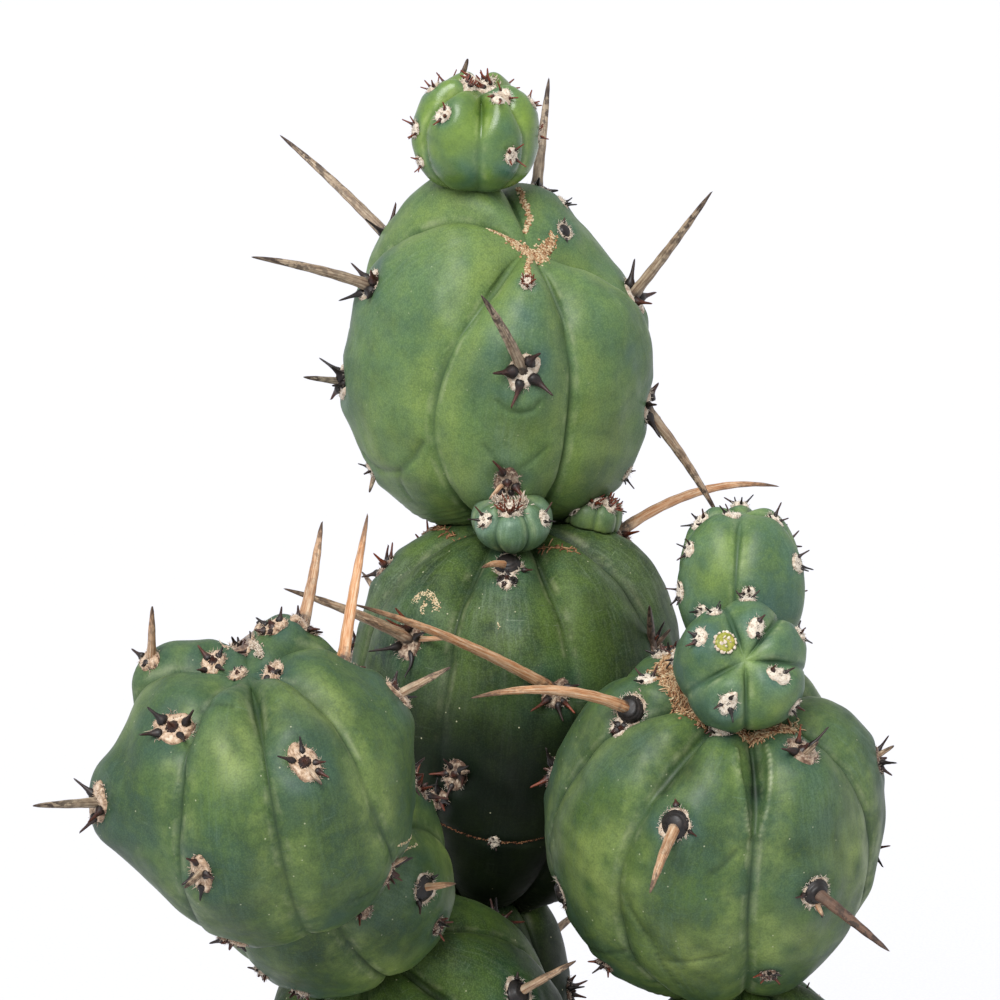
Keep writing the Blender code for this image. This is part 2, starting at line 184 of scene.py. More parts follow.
def turned_faces(rings, columns):
    """Quads for rings of points round an axis, whose first and last rings lie on the axis."""
    row, column = np.meshgrid(np.arange(rings - 1), np.arange(columns), indexing="ij")
    beside = (column + 1) % columns
    quads = np.stack([row * columns + column, row * columns + beside,
                      (row + 1) * columns + beside, (row + 1) * columns + column], -1)
    return quads.reshape(-1, 4)


def turned_solid(outline, columns):
    """Points and faces of a closed outline turned round Z, with one point at each end of it."""
    angles = np.arange(columns) * math.tau / columns
    inner = outline[1:-1]
    points = np.stack([np.outer(inner[:, 0], np.sin(angles)), -np.outer(inner[:, 0], np.cos(angles)),
                       np.repeat(inner[:, 1:], columns, 1)], -1).reshape(-1, 3)
    points = np.vstack([points, [[0, 0, outline[0, 1]], [0, 0, outline[-1, 1]]]])
    first, last = len(points) - 2, len(points) - 1
    faces = turned_faces(len(inner), columns).tolist()
    top = (len(inner) - 1) * columns
    for i in range(columns):
        beside = (i + 1) % columns
        faces.append([first, beside, i])
        faces.append([top + i, top + beside, last])
    return points, faces


pot_outline = rounded((
    (0, 0),
    (POT_FOOT_RADIUS - 3 * MM, 0),
    (POT_FOOT_RADIUS + 0.4 * MM, 3 * MM),
    (POT_NECK_RADIUS, BAND_FOOT),
    (POT_RIM_RADIUS - 5.5 * MM, BAND_FOOT),
    (POT_RIM_RADIUS - 2.5 * MM, BAND_FOOT + 3 * MM),
    (POT_RIM_RADIUS, POT_HEIGHT - 3 * MM),
    (POT_RIM_RADIUS - 3 * MM, POT_HEIGHT),
    (POT_RIM_RADIUS - POT_WALL, POT_HEIGHT),
    (POT_RIM_RADIUS - POT_WALL - 3 * MM, POT_HEIGHT - 4 * MM),
    (wall_radius(BAND_FOOT) - POT_WALL, BAND_FOOT),
    (wall_radius(POT_FLOOR) - POT_WALL, POT_FLOOR + 4 * MM),
    (wall_radius(POT_FLOOR) - POT_WALL - 4 * MM, POT_FLOOR),
    (0, POT_FLOOR),
), 2.2 * MM, 1.3 * MM)
pot_points, pot_faces = turned_solid(pot_outline, 220)
reach = np.hypot(pot_points[:, 0], pot_points[:, 1])
turn = np.arctan2(pot_points[:, 0], -pot_points[:, 1])
outside = reach > wall_radius(pot_points[:, 2]) - POT_WALL / 2
wander = 0.8 * undulation(pot_points, 60 * MM, 3)
ridge = np.sin(math.tau * pot_points[:, 2] / THROWING_PITCH + turn + wander)
inset = THROWING_HEIGHT * (1 - ridge) * (pot_points[:, 2] > 4 * MM) * outside
inset += 0.16 * MM * (1 + undulation(pot_points, 45 * MM, 4)) * outside
chance = np.random.default_rng(5)
for _ in range(9):  # knocks along the rim
    spot = chance.uniform(0, math.tau)
    edge = np.array([POT_RIM_RADIUS * math.sin(spot), -POT_RIM_RADIUS * math.cos(spot), POT_HEIGHT])
    apart = np.linalg.norm(pot_points - edge, axis=1)
    inset += chance.uniform(0.5, 1.2) * MM * bell(apart, chance.uniform(1.5, 3.5) * MM)
shrink = 1 - inset / np.maximum(reach, 10 * MM)
pot_points[:, :2] *= shrink[:, None]
pot_points[:, 2] -= np.where(pot_points[:, 2] > POT_HEIGHT - 2 * MM, np.maximum(0, inset - 0.3 * MM), 0)

# Fired red earthenware, left matt and porous: an even orange-brown body, darker where the
# kiln reached it most, with fine grit, pinholes, and pale lime left by hard water.
earthenware = new_material("terracotta_fired_unglazed")
where = add_node(earthenware, "TexCoord")["Object"]
firing = add_node(earthenware, "TexNoise", where, Scale=1000 / 70, Detail=4.0)["Fac"]
body = add_node(earthenware, "ValToRGB", firing,
                stops=((0.3, "#864e35"), (0.5, "#a26243"), (0.72, "#b07858")))["Color"]
grit = add_node(earthenware, "TexNoise", where, Scale=1000 / 1.4, Detail=3.0, Roughness=0.7)["Fac"]
grit_share = add_node(earthenware, "MapRange", grit, From_Min=0.5, From_Max=0.72, To_Max=0.35)[0]
body = add_node(earthenware, "Mix", grit_share, A_Color=body, B_Color=linear("#6d3c29"))[2]
height = add_node(earthenware, "SeparateXYZ", where)["Z"]
lime_noise = add_node(earthenware, "TexNoise", where, Scale=1000 / 16, Detail=6.0, Roughness=0.65)["Fac"]
for low, high, colour, most in ((0.055, 0.0, "#beaa98", 0.75), (0.165, 0.219, "#b9a591", 0.55),
                                (0.02, 0.0, "#5e3c2e", 0.6)):
    rise = add_node(earthenware, "MapRange", height, From_Min=low, From_Max=high)[0]
    lime = add_node(earthenware, "Math", rise, lime_noise, operation="MULTIPLY")[0]
    lime = add_node(earthenware, "MapRange", lime, From_Min=0.22, From_Max=0.62, To_Max=most)[0]
    body = add_node(earthenware, "Mix", lime, A_Color=body, B_Color=linear(colour))[2]
pinholes = add_node(earthenware, "TexVoronoi", where, Scale=1000 / 3.2)["Distance"]
pinholes = add_node(earthenware, "MapRange", pinholes, From_Min=0.05, From_Max=0.14)[0]
relief = add_node(earthenware, "Math", grit, pinholes, operation="ADD")[0]
bump = add_node(earthenware, "Bump", Height=relief, Strength=0.5, Distance=0.25 * MM)[0]
add_node(earthenware, "Principled", Base_Color=body, Normal=bump, Roughness=0.88, IOR=1.5)

pot = make_piece("pot_terracotta", pot_points, pot_faces, earthenware, "clay", ["pot"])
DRAIN_RADIUS = 6 * MM
DRAIN_RING = 38 * MM
DRILL_LOW, DRILL_HIGH = -12 * MM, 20 * MM
drill_outline = ((0, DRILL_LOW), (DRAIN_RADIUS, DRILL_LOW), (DRAIN_RADIUS, DRILL_HIGH), (0, DRILL_HIGH))
drill_points, drill_faces = turned_solid(rounded(drill_outline, 0.5 * MM, 4 * MM), 40)
drills = []
for hole in range(3):
    angle = math.tau * hole / 3
    mesh = bpy.data.meshes.new("drill")
    shift = np.array([DRAIN_RING * math.sin(angle), -DRAIN_RING * math.cos(angle), 0])
    mesh.from_pydata((drill_points + shift).tolist(), [], drill_faces)
    drill = place_object("drill", mesh)
    cut = pot.modifiers.new("drain_hole", "BOOLEAN")
    cut.operation = "DIFFERENCE"
    cut.solver = "EXACT"
    cut.object = drill
    drills.append(drill)
bpy.context.view_layer.update()
drained = bpy.data.meshes.new_from_object(pot.evaluated_get(bpy.context.evaluated_depsgraph_get()))
pot.modifiers.clear()
pot.data = drained
for drill in drills:
    bpy.data.objects.remove(drill)


# ------------------------------------------------------------------------------------------
# The stem joints
# Each joint is a swollen, ribbed ball of green flesh under a tough waxy skin. A joint grows
# out of the tip of the one below it and is pinched narrow where the two meet.

SEAT_GAP = 0.35 * MM  # room between two joints that press on each other
SKIN_SPACING = 0.95 * MM  # from one point of the skin's mesh to the next
CREASE_SHARPNESS = 2.2
POLE_BLEND_START = 58.0


def smooth_step(value):
    value = np.clip(value, 0.0, 1.0)
    return value * value * (3 - 2 * value)


def lean(toward_azimuth, degrees):
    """The turn that tips +Z by that many degrees towards an azimuth, without twisting."""
    azimuth = math.radians(toward_azimuth)
    return np.array(Quaternion((math.cos(azimuth), math.sin(azimuth), 0), math.radians(degrees)))


class StemJoint:
    """The shape of one joint: an egg with ribs that run from its root to its growing tip.
    Its two poles lean their own ways, so it can bend. Each rib has its crease and crest."""

    def __init__(self, centre, radius, rise, creases, crests, root_lean=(0, 0), tip_lean=(0, 0),
                 groove=(0.07, 0.055, 0.13), dip=0.02, bumps=(), fullness=(1.0, 0.9)):
        self.centre = np.array(centre) * MM
        self.radius = radius * MM
        self.rise = rise * MM
        self.creases = list(creases)
        self.crests = list(crests)
        self.root = lean(*root_lean)
        self.tip = lean(*tip_lean)
        self.groove = groove  # depth at the root, the middle and the tip, as shares of the size
        self.dip = dip  # how far the growing tip is sunk between its ribs
        self.bumps = bumps  # (azimuth, latitude, height as a share of the size, spread)
        self.fullness = fullness  # below and above the middle: 1 is an ellipse, less is squarer
        self.tree = None
        self.box = None

    def across_rib(self, azimuth):
        """0 on the crest of a rib, 1 in the crease beside it."""
        across = np.ones_like(azimuth)
        for rib, crease in enumerate(self.creases):
            width = (self.creases[(rib + 1) % len(self.creases)] - crease) % 360
            crest = (self.crests[rib] - crease) % 360
            along = (azimuth - crease) % 360
            side = np.where(along < crest, 1 - along / crest, (along - crest) / (width - crest))
            across = np.where(along <= width, side, across)
        return across

    def from_crease(self, azimuth):
        """Degrees from the nearest crease."""
        apart = [np.abs((azimuth - crease + 180) % 360 - 180) for crease in self.creases]
        return np.min(apart, axis=0)

    def pole_share(self, latitude):
        return smooth_step((np.abs(latitude) - POLE_BLEND_START) / (90 - POLE_BLEND_START))

    def swell(self, azimuth, latitude):
        """How far the skin stands from the centre, as a share of the plain egg."""
        root_depth, middle_depth, tip_depth = self.groove
        end_depth = np.where(latitude > 0, tip_depth, root_depth)
        depth = middle_depth + (end_depth - middle_depth) * smooth_step(np.abs(latitude) / 75)
        at_pole = self.pole_share(latitude)
        crease = self.across_rib(azimuth) ** CREASE_SHARPNESS
        share = 1 - depth * crease * (1 - at_pole) - np.where(latitude > 0, self.dip, 0) * at_pole
        here = np.radians(latitude)
        for bump_azimuth, bump_latitude, height, spread in self.bumps:
            turn, there = np.radians(azimuth - bump_azimuth), math.radians(bump_latitude)
            cosine = np.sin(here) * math.sin(there) + np.cos(here) * math.cos(there) * np.cos(turn)
            apart = np.degrees(np.arccos(np.clip(cosine, -1, 1)))
            share = share + height * bell(apart, spread)
        return share

    def point(self, azimuth, latitude):
        """Points of the skin, for azimuths and latitudes in degrees."""
        azimuth, latitude = np.broadcast_arrays(np.asarray(azimuth, float), np.asarray(latitude, float))
        around, up = np.radians(azimuth), np.radians(latitude)
        fullness = np.where(latitude > 0, self.fullness[1], self.fullness[0])
        reach = self.radius * np.maximum(0.0, np.cos(up)) ** fullness
        height = np.copysign(self.rise * np.abs(np.sin(up)) ** fullness, latitude)
        local = np.stack([reach * np.sin(around), -reach * np.cos(around), height], -1)
        local = local * self.swell(azimuth, latitude)[..., None]
        share = smooth_step((np.sin(up) + 1) / 2)[..., None]
        apart = math.acos(min(1.0, float(self.root @ self.tip)))
        if apart < 1e-6:
            turn = np.broadcast_to(self.root, (*local.shape[:-1], 4))
        else:
            turn = np.sin((1 - share) * apart) * self.root + np.sin(share * apart) * self.tip
            turn = turn / math.sin(apart)
        scalar, axis = turn[..., :1], turn[..., 1:]
        bent = local + 2 * np.cross(axis, np.cross(axis, local) + scalar * local)
        return self.centre + bent

    def tangent_frame(self, azimuth, latitude):
        """(skin point, outward normal, tangent towards the tip, tangent to the right)."""
        step = 2.0
        to_tip = self.point(azimuth, latitude + step) - self.point(azimuth, latitude - step)
        to_right = self.point(azimuth + step, latitude) - self.point(azimuth - step, latitude)
        to_tip = unit(to_tip)
        normal = unit(np.cross(to_right, to_tip))
        return self.point(azimuth, latitude), normal, to_tip, np.cross(to_tip, normal)


def even_ribs(count, first_crest):
    """(creases, crests) of that many ribs of one width."""
    step = 360.0 / count
    creases = [first_crest + (i - 0.5) * step for i in range(count)]
    return creases, [crease + step / 2 for crease in creases]


JOINTS = {
    "stem_base": StemJoint((3, 0, 248.5), 57.5, 62, *even_ribs(8, 12), fullness=(0.85, 0.85)),
    "stem_waist": StemJoint((-19, 31, 334), 31, 38, *even_ribs(6, 20), root_lean=(-145, 15),
        tip_lean=(139, 10)),
    "stem_body": StemJoint((-5.5, 46, 417.5), 48.5, 60, (-26, 22, 65, 110, 155, 200, 240, 284),
        (-2, 43, 86, 132, 178, 220, 262, 310), root_lean=(139, 12), groove=(0.06, 0.03, 0.1),
        fullness=(0.9, 0.78), bumps=((105, 40, 0.09, 34),)),
    "stem_top": StemJoint((-9.5, 67.5, 522), 46, 51.5, (-25, 29, 92, 200, 260), (3, 76, 160, 230, 283),
        root_lean=(-170, 10), tip_lean=(29, 26), groove=(0.08, 0.05, 0.16), dip=0.15,
        fullness=(0.85, 0.95),
        bumps=((-140, 45, 0.16, 28), (118, 56, -0.13, 25), (95, 70, -0.05, 20), (110, -30, 0.03, 30))),
    "left_branch_lower": StemJoint((-31, -30, 342), 43.5, 46, (46, 108, 170, 232, 292, 348),
        (78, 139, 201, 262, 320, 377), root_lean=(-49, 25), tip_lean=(-45, 30)),
    "left_branch_middle": StemJoint((-56.5, -55.5, 409), 34.5, 38, (15, 95, 165, 235, 305),
        (58, 130, 200, 270, 340), root_lean=(-40, 35), tip_lean=(-13, 55)),
    "left_branch_tip": StemJoint((-70, -114, 455), 39, 41, (-34, 10, 55, 125, 182, 252),
        (-14, 30, 98, 150, 225, 280), root_lean=(-13, 60), tip_lean=(-85, 8), groove=(0.05, 0.04, 0.17),
        dip=0.2,
        bumps=((-86, 11, 0.16, 17), (-122, 46, 0.2, 17), (111, 20, 0.1, 17), (150, 62, 0.14, 17),
               (-80, -28, -0.07, 25))),
    "right_branch_lower": StemJoint((62.5, -33, 317.5), 43.5, 52, *even_ribs(6, 25), root_lean=(62, 40),
        tip_lean=(-40, 5), fullness=(0.9, 1.15)),
    "right_branch_upper": StemJoint((51.5, -28, 410), 48, 50.5, (-37, 10, 70, 128, 180, 230, 280),
        (-18, 38, 99, 155, 205, 255, 300), root_lean=(-60, 8), tip_lean=(28, 19),
        groove=(0.08, 0.04, 0.14), dip=0.12, fullness=(1.0, 0.85), bumps=((105, 35, 0.015, 35),)),
    "crown_offset": StemJoint((-16, 65.5, 591), 18.2, 17.2, (4, 58, 125, 185, 245, 298),
        (33, 95, 155, 215, 270, 323), root_lean=(180, 10), tip_lean=(30, 14), groove=(0.05, 0.1, 0.33),
        dip=0.3, fullness=(0.75, 0.95)),
    "shoulder_offset_front": StemJoint((-5.5, 28, 484), 12, 9, *even_ribs(7, 0), tip_lean=(0, 15),
        groove=(0.08, 0.08, 0.16), dip=0.12),
    "shoulder_offset_right": StemJoint((18.5, 50, 477.5), 8.5, 8.5, *even_ribs(6, 30),
        tip_lean=(60, 15), groove=(0.08, 0.1, 0.2), dip=0.15),
    "right_offset_back": StemJoint((59, -13, 478), 18.5, 24, (-8, 92, 152, 208, 265),
        (55, 125, 180, 235, 300), root_lean=(180, 10), tip_lean=(180, 0), groove=(0.05, 0.06, 0.14),
        dip=0.12),
    "right_offset_front": StemJoint((57.5, -48.5, 466.5), 18.5, 17.5, (3, 88, 142, 198, 298),
        (50, 118, 168, 242, 335), root_lean=(0, 50), tip_lean=(1, 62), groove=(0.05, 0.07, 0.2),
        dip=0.18),
}

# Which joints each joint is pressed against
SEATED_ON = {
    "stem_waist": ("stem_base",),
    "stem_body": ("stem_waist",),
    "stem_top": ("stem_body",),
    "left_branch_lower": ("stem_base", "stem_waist"),
    "left_branch_middle": ("left_branch_lower",),
    "left_branch_tip": ("left_branch_middle",),
    "right_branch_lower": ("stem_base",),
    "right_branch_upper": ("right_branch_lower", "stem_body"),
    "crown_offset": ("stem_top",),
    "shoulder_offset_front": ("stem_body", "stem_top"),
    "shoulder_offset_right": ("stem_body", "stem_top"),
    "right_offset_back": ("right_branch_upper",),
    "right_offset_front": ("right_branch_upper", "right_offset_back"),
}

# The areoles, the felted spots that spines grow from. Each joint has its usual kind, then a
# row for each one: azimuth, latitude and half its length in millimetres, then which way its
# length runs (0 towards the tip, 90 to the right) and its kind, where these are not the usual
AREOLES = {
    "stem_base": ("rough", (15, 10, 4.5), (-75, 5, 4.5), (102, 20, 4.5), (192, 8, 4.5),
        (-120, 25, 4.5), (57, -5, 4), (-33, -8, 4), (147, 15, 4), (-165, -10, 4), (12, -18, 4),
        (102, -15, 4), (-123, -12, 4)),
    "stem_waist": ("rough", (140, 5, 4.5), (-110, 0, 4.5), (20, 10, 4), (80, 0, 4), (-160, 10, 4)),
    "stem_body": ("rough", (-45, 27, 6, 10), (15, 15, 5, 60), (66, 21, 4.5),
        (-3, 64, 4.6, 0, "socket"), (-3, 56, 3.6, 0, "knobs"), (-123, 64, 4.2), (-20, -6, 5, 20),
        (-26, -15, 4, 70), (-3, -26, 1.8, 0, "young"), (122, 48, 4.6), (133, 15, 4.5), (133, -20, 4),
        (178, 20, 4.6), (178, -15, 4.4), (-138, 5, 4.6), (-138, -30, 4), (-97, 10, 4.5), (-97, -25, 4),
        (43, -20, 4), (86, -15, 4), (-138, 40, 4.5), (-97, 42, 4)),
    "stem_top": ("net", (141, 67, 2.8, 60, "socket"), (-81, 24, 5.6, 15), (-81, -7, 5.2),
        (-79, -36, 2.8, 30, "young"), (105, 27, 5.8, 60), (81, -8, 5.4, 10), (6, 25, 5.8, 20),
        (-1, 63, 2.2, 0, "tuft"), (4, -31, 5.0, 0, "rough"), (75, -36, 2.6, 0, "young"), (-126, 20, 5),
        (176, 48, 5), (150, -5, 5), (-150, -15, 5), (161, 51, 2.6, 0, "young"), (158, 22, 4.6),
        (-129, -12, 4.6), (160, -36, 4, 0, "rough"), (-129, -40, 4, 0, "rough")),
    "left_branch_lower": ("rough", (71, 27, 5, 0, "socket"), (10, 0, 4.5), (-42, 5, 4.5),
        (78, -5, 4.5), (-98, 5, 4.5), (-159, 8, 4.5), (-42, -22, 4), (10, -25, 4), (139, 10, 4)),
    "left_branch_middle": ("rough", (62, 17, 4.6, 0, "socket"), (-30, -21, 3.6, 20, "felt"),
        (35, 46, 3.2), (53, -16, 3.2), (118, 8, 4.5, 40), (-43, -5, 3, 0, "felt"), (-130, 15, 4.5),
        (-90, -8, 4.5), (-160, -8, 4.5)),
    "left_branch_tip": ("felt", (-79, 14, 6.2, 5), (-119, 50, 4.6, 60), (-127, 74, 4.6, 80),
        (-172, 64, 5), (177, 70, 3.6, 20), (154, 69, 4.2, 60), (-121, 86, 3.0, 90), (80, 80, 4.6, 90),
        (-49, 49, 6.6, 75), (27, 34, 5.8, -30), (107, 21, 5.2, -20), (-23, 11, 5.4),
        (54, -20, 5.6, -15), (-22, -17, 4.4, 70), (143, 56, 5), (120, 43, 4.6), (-130, 12, 5),
        (-135, -20, 5), (150, -15, 5), (-165, -20, 5), (-165, 22, 5), (98, -18, 4.6), (158, 22, 4.6)),
    "right_branch_lower": ("rough", (25, 5, 4.5), (85, -5, 4.5), (-165, -12, 4.5), (118, 55, 3),
        (128, 36, 3.4), (-35, -5, 4.5), (145, 10, 4.5), (25, -28, 4), (85, 28, 4)),
    "right_branch_upper": ("rough", (-22, 32, 4.9, 0, "socket"), (33, 6, 4.9, 0, "socket"),
        (-72, -13, 4.6, 0, "socket"), (-88, 52, 4.9, 40, "socket"), (-82, 46, 3.4, 60, "knobs"),
        (43, 63, 5.4, -15), (97, 26, 4.4), (18, -34, 3, 20), (-60, -36, 3.2, 60),
        (-147, 45, 4.6, 0, "felt"), (-24, 73, 2.8, 90, "young"), (-104, 59, 3.0, 40, "young"),
        (155, -8, 4.6), (178, 32, 4.6, 0, "felt"), (155, 22, 4.6), (-155, -18, 4.6, 0, "socket"),
        (-155, 14, 4.6), (-105, 8, 4.6), (99, -15, 4.4), (-105, -28, 4)),
    "crown_offset": ("young", (170, 76, 3.4, 90, "tuft"), (-100, 74, 2.4, 40, "tuft"),
        (-41, 31, 2.8, 20), (35, -6, 2.6), (68, 64, 3, 60), (-78, 2, 2.4), (-75, -24, 1.8),
        (100, 34, 2.4), (-96, 42, 2.4), (155, 30, 2.6), (-145, 28, 2.6), (155, -8, 2.4),
        (-145, -8, 2.4), (95, 0, 2.2)),
    "shoulder_offset_front": ("young", (-47, 27, 2.5), (60, 24, 2.5), (-5, 62, 3.4, 90, "tuft"),
        (130, 35, 1.8), (-130, 35, 1.8)),
    "shoulder_offset_right": ("young", (-18, 62, 2.6, 0, "tuft"), (45, 55, 2.6, 0, "tuft"),
        (-51, 24, 1.6), (110, 20, 2.0), (160, 50, 2.0)),
    "right_offset_front": ("slim", (175, 16, 2.3, 0, "young"), (160, 60, 3.4),
        (118, 14, 2.5, 0, "young"), (68, 57, 3.7), (-21, 49, 3.7), (52, 4, 3.3, 20),
        (-118, 44, 3.2, 40), (-20, -10, 3.0, 60), (-151, 25, 2.2, 0, "young"),
        (-100, -5, 2.4, 0, "young")),
    "right_offset_back": ("young", (-106, 50, 3), (-60, 80, 2.6), (97, 58, 2.8), (-65, 30, 2.4),
        (-70, 0, 2.8), (61, 20, 2.8), (4, 4, 2.4), (-39, -11, 2.4), (125, 22, 2.6), (180, 30, 2.6),
        (-125, 12, 2.6), (180, -10, 2.6), (125, -14, 2.6), (180, 62, 2.6)),
}
for name, (usual_kind, *rows) in AREOLES.items():
    AREOLES[name] = [(*row, *(0, usual_kind)[len(row) - 3:]) for row in rows]

# Short folds beside the ribs' own creases, pressed in as the flesh filled and shrank again.
# Each row: depth in millimetres (a ridge is negative), width in millimetres, then its places
FOLDS = {
    "stem_top": ((0.7, 1.3, (-30, -16), (-36, -24), (-46, -31), (-61, -33), (-75, -29)),
        (0.4, 1.0, (-46, -31), (-52, -39), (-55, -46)),
        (0.5, 1.0, (-1, 9), (3, 5), (8, 4), (12, 6), (14, 10)),
        (0.3, 0.9, (-4, -11), (-1, -15), (1, -21)), (0.3, 0.9, (19, -12), (15, -17), (11, -21)),
        (0.4, 1.2, (-103, 14), (-96, 6), (-84, 6)), (0.4, 1.2, (140, 8), (150, 3), (165, 5))),
    "right_branch_upper": ((-1.1, 1.2, (-7, 66), (1, 51), (7, 33)),
        (-1.1, 1.2, (22, 69), (17, 52), (12, 33)), (0.5, 1.1, (3, 26), (-1, 20), (-5, 16)),
        (0.4, 1.0, (-19, -20), (-11, -19), (-1, -17)), (0.4, 1.0, (-64, -29), (-50, -26), (-39, -23)),
        (0.5, 1.2, (-32, 0), (-24, -12), (-20, -34)), (0.4, 1.1, (150, 4), (160, 0), (170, 3))),
    "stem_body": ((0.5, 1.0, (-24, -24), (-12, -26), (7, -26), (18, -25)),
        (0.4, 1.2, (120, -4), (132, -9), (146, -5)), (0.4, 1.2, (165, -2), (178, -6), (192, -2))),
    "left_branch_tip": ((0.5, 1.2, (42, -13), (31, -8)), (0.4, 1.1, (50, -30), (38, -32)),
        (0.5, 1.3, (-6, 59), (-38, 60)), (0.4, 1.2, (-120, -2), (-132, -6), (-145, -2))),
}


# Uneven colour of the skin, from bruises and age, with painted shade under the dark tint. Under
# each tint, a row for each place: azimuth, latitude, radius in millimetres, and how strong it is
TINTS = {
    "stem_top": {"yellow": ((9, -6, 7, 0.9), (-12, -28, 8, 0.9), (3, -22, 15, 0.5), (-45, 68, 14, 0.5),
            (-80, 60, 12, 0.3), (-55, -20, 14, 0.4), (50, -15, 16, 0.5), (160, 10, 14, 0.6),
            (-140, 30, 12, 0.5)),
        "blue": ((0, 50, 9, 0.7), (58, 24, 4, 1.0), (63, 17, 3, 1.0), (12, 36, 5, 0.5),
            (3, -14, 8, 0.6), (-60, 30, 13, 0.45), (45, 45, 10, 0.4))},
    "stem_body": {"blue": ((0, 40, 3.5, 0.9), (2, 24, 3.5, 0.7)),
        "yellow": ((30, 30, 12, 0.7), (-3, 30, 9, 0.5), (-22, 20, 9, 0.5)),
        "dark": ((62, 27, 15, 1.3), (44, 38, 12, 0.9), (25, -4, 17, 1.2), (-3, -8, 14, 0.9),
            (-20, -10, 16, 0.75)),
        "dusty": ((-8, 42, 8, 1.0), (-50, 32, 9, 0.6), (-25, 12, 9, 0.5), (70, 35, 14, 0.9),
            (62, 50, 10, 1.0), (-80, 40, 14, 0.8), (-110, 10, 18, 0.5), (140, 30, 16, 0.5)),
        "stain": ((-60, 22, 9, 1.0), (-48, 4, 10, 1.0), (-38, -12, 8, 0.9), (-70, -8, 9, 0.8),
            (170, -30, 14, 0.8), (95, -10, 12, 0.5))},
    "left_branch_tip": {"yellow": ((-5, 41, 7.5, 1.05), (50, 50, 8, 0.7), (60, 17, 10, 0.45),
            (8, 6, 9, 0.3), (-95, 40, 10, 0.5), (115, 0, 12, 0.7), (180, 10, 14, 0.6)),
        "dark": ((-75, -10, 16, 0.4), (-55, 30, 12, 0.2), (20, 20, 12, 0.15)),
        "blue": ((0, 75, 8, 0.6), (38, 41, 6, 0.6), (25, -14, 8, 0.9), (-58, 15, 12, 0.6),
            (-20, 62, 7, 0.7), (75, -10, 9, 0.5), (-10, -35, 12, 0.6))},
    "left_branch_middle": {"dusty": ((60, 40, 8, 0.8),), "yellow": ((80, 0, 12, 0.6), (20, -20, 10, 0.5))},
    "left_branch_lower": {"dark": ((75, 0, 22, 1.1), (40, -20, 20, 1.0)), "stain": ((100, 30, 12, 0.6),),
        "dusty": ((-60, 20, 14, 0.6),)},
    "right_branch_upper": {"dark": ((9, 62, 3.5, 1.2), (9, 52, 3, 1.1), (8, 44, 2.5, 0.9),
            (-30, 52, 4, 1.3), (-36, 44, 3.5, 1.1)),
        "yellow": ((25, -12, 12, 0.6), (-75, 45, 9, 0.5), (-48, 5, 15, 0.9), (-10, -18, 12, 0.7),
            (50, 14, 14, 0.7), (160, 30, 14, 0.6)),
        "dusty": ((40, 40, 9, 0.7), (-70, 30, 8, 0.6), (64, 30, 10, 0.6), (85, 40, 14, 0.9),
            (-80, 20, 8, 0.6)),
        "blue": ((8, 42, 8, 0.7), (40, 32, 9, 0.8), (15, 12, 8, 0.6), (-62, 45, 10, 0.6))},
    "right_branch_lower": {"yellow": ((40, 10, 16, 0.4),), "stain": ((-10, 30, 14, 0.7),),
        "dusty": ((110, 0, 12, 0.6),)},
    "crown_offset": {"blue": ((0, -38, 13, 0.9), (35, -22, 11, 1.0), (-48, -12, 11, 1.0),
            (95, -20, 8, 0.9), (160, -15, 10, 0.9), (-120, -15, 9, 0.9), (35, 28, 6, 0.6)),
        "yellow": ((-12, 8, 7, 0.9), (60, 40, 6, 0.8), (-90, 60, 8, 0.7))},
    "shoulder_offset_front": {"dusty": ((0, 10, 9, 1.6), (-60, 20, 9, 1.4), (60, 15, 9, 1.5))},
    "shoulder_offset_right": {"yellow": ((0, 0, 9, 0.9), (90, 0, 9, 0.7))},
    "right_offset_front": {"yellow": ((0, 90, 5, 1.2), (40, 35, 6, 0.9), (-5, 60, 6, 0.8)),
        "blue": ((-60, 10, 9, 0.8), (100, 20, 9, 0.8), (-150, 60, 6, 0.6))},
    "right_offset_back": {"yellow": ((0, 90, 7, 0.8), (-30, 25, 10, 0.7)),
        "blue": ((30, -5, 8, 0.8), (-80, 10, 9, 0.6))},
    "stem_base": {"stain": ((0, 20, 24, 0.6), (180, 10, 24, 0.6)),
        "dusty": ((90, 30, 22, 0.6), (-100, 20, 22, 0.6))},
    "stem_waist": {"stain": ((0, 0, 18, 0.8),), "dusty": ((150, 0, 16, 0.7),)},
}


# How deep the creases between the ribs are, where they are not as deep as on most joints
CREASE_DEPTH = {"left_branch_tip": 0.38, "stem_body": 0.35, "right_branch_upper": 0.7}
# Below this latitude the oldest skin is painted nearly black, partly for its age and partly as
# painted shade, most of all at its front, in the shade between the branches
AGE_AND_SHADE_BELOW = {"stem_body": 32, "stem_waist": 60, "left_branch_lower": 5, "right_branch_lower": -10,
              "stem_base": -25, "left_branch_middle": -35}
AGE_AND_SHADE_FADE = 38.0  # degrees of latitude that the darkness takes to reach its full depth
# How far each kind of relief stands or sinks, on a joint of the usual radius
USUAL_RADIUS = 45 * MM
CREASE_CUT = 1.15 * MM
CREASE_DIP = 0.5 * MM
SWELLING = 0.32 * MM
DIMPLES = 0.10 * MM
NECK_RINGS = 0.22 * MM
# The same round an areole whose half length is 5 mm: its hollow, the rim of that, and the
# swelling under it
HOLLOW_DEPTH = 0.9 * MM
HOLLOW_RIM = 0.5 * MM
CHIN_HEIGHT = 0.7 * MM


def fold_distance(joint, places, points):
    """How far each point is from a line drawn through those places on the joint."""
    azimuths, latitudes = zip(*places)
    steps = np.linspace(0, len(places) - 1, (len(places) - 1) * 8 + 1)
    line = joint.point(np.interp(steps, range(len(places)), azimuths),
                       np.interp(steps, range(len(places)), latitudes))
    nearest = np.full(len(points), 1.0)
    for spot in line:
        nearest = np.minimum(nearest, np.linalg.norm(points - spot, axis=1))
    return nearest


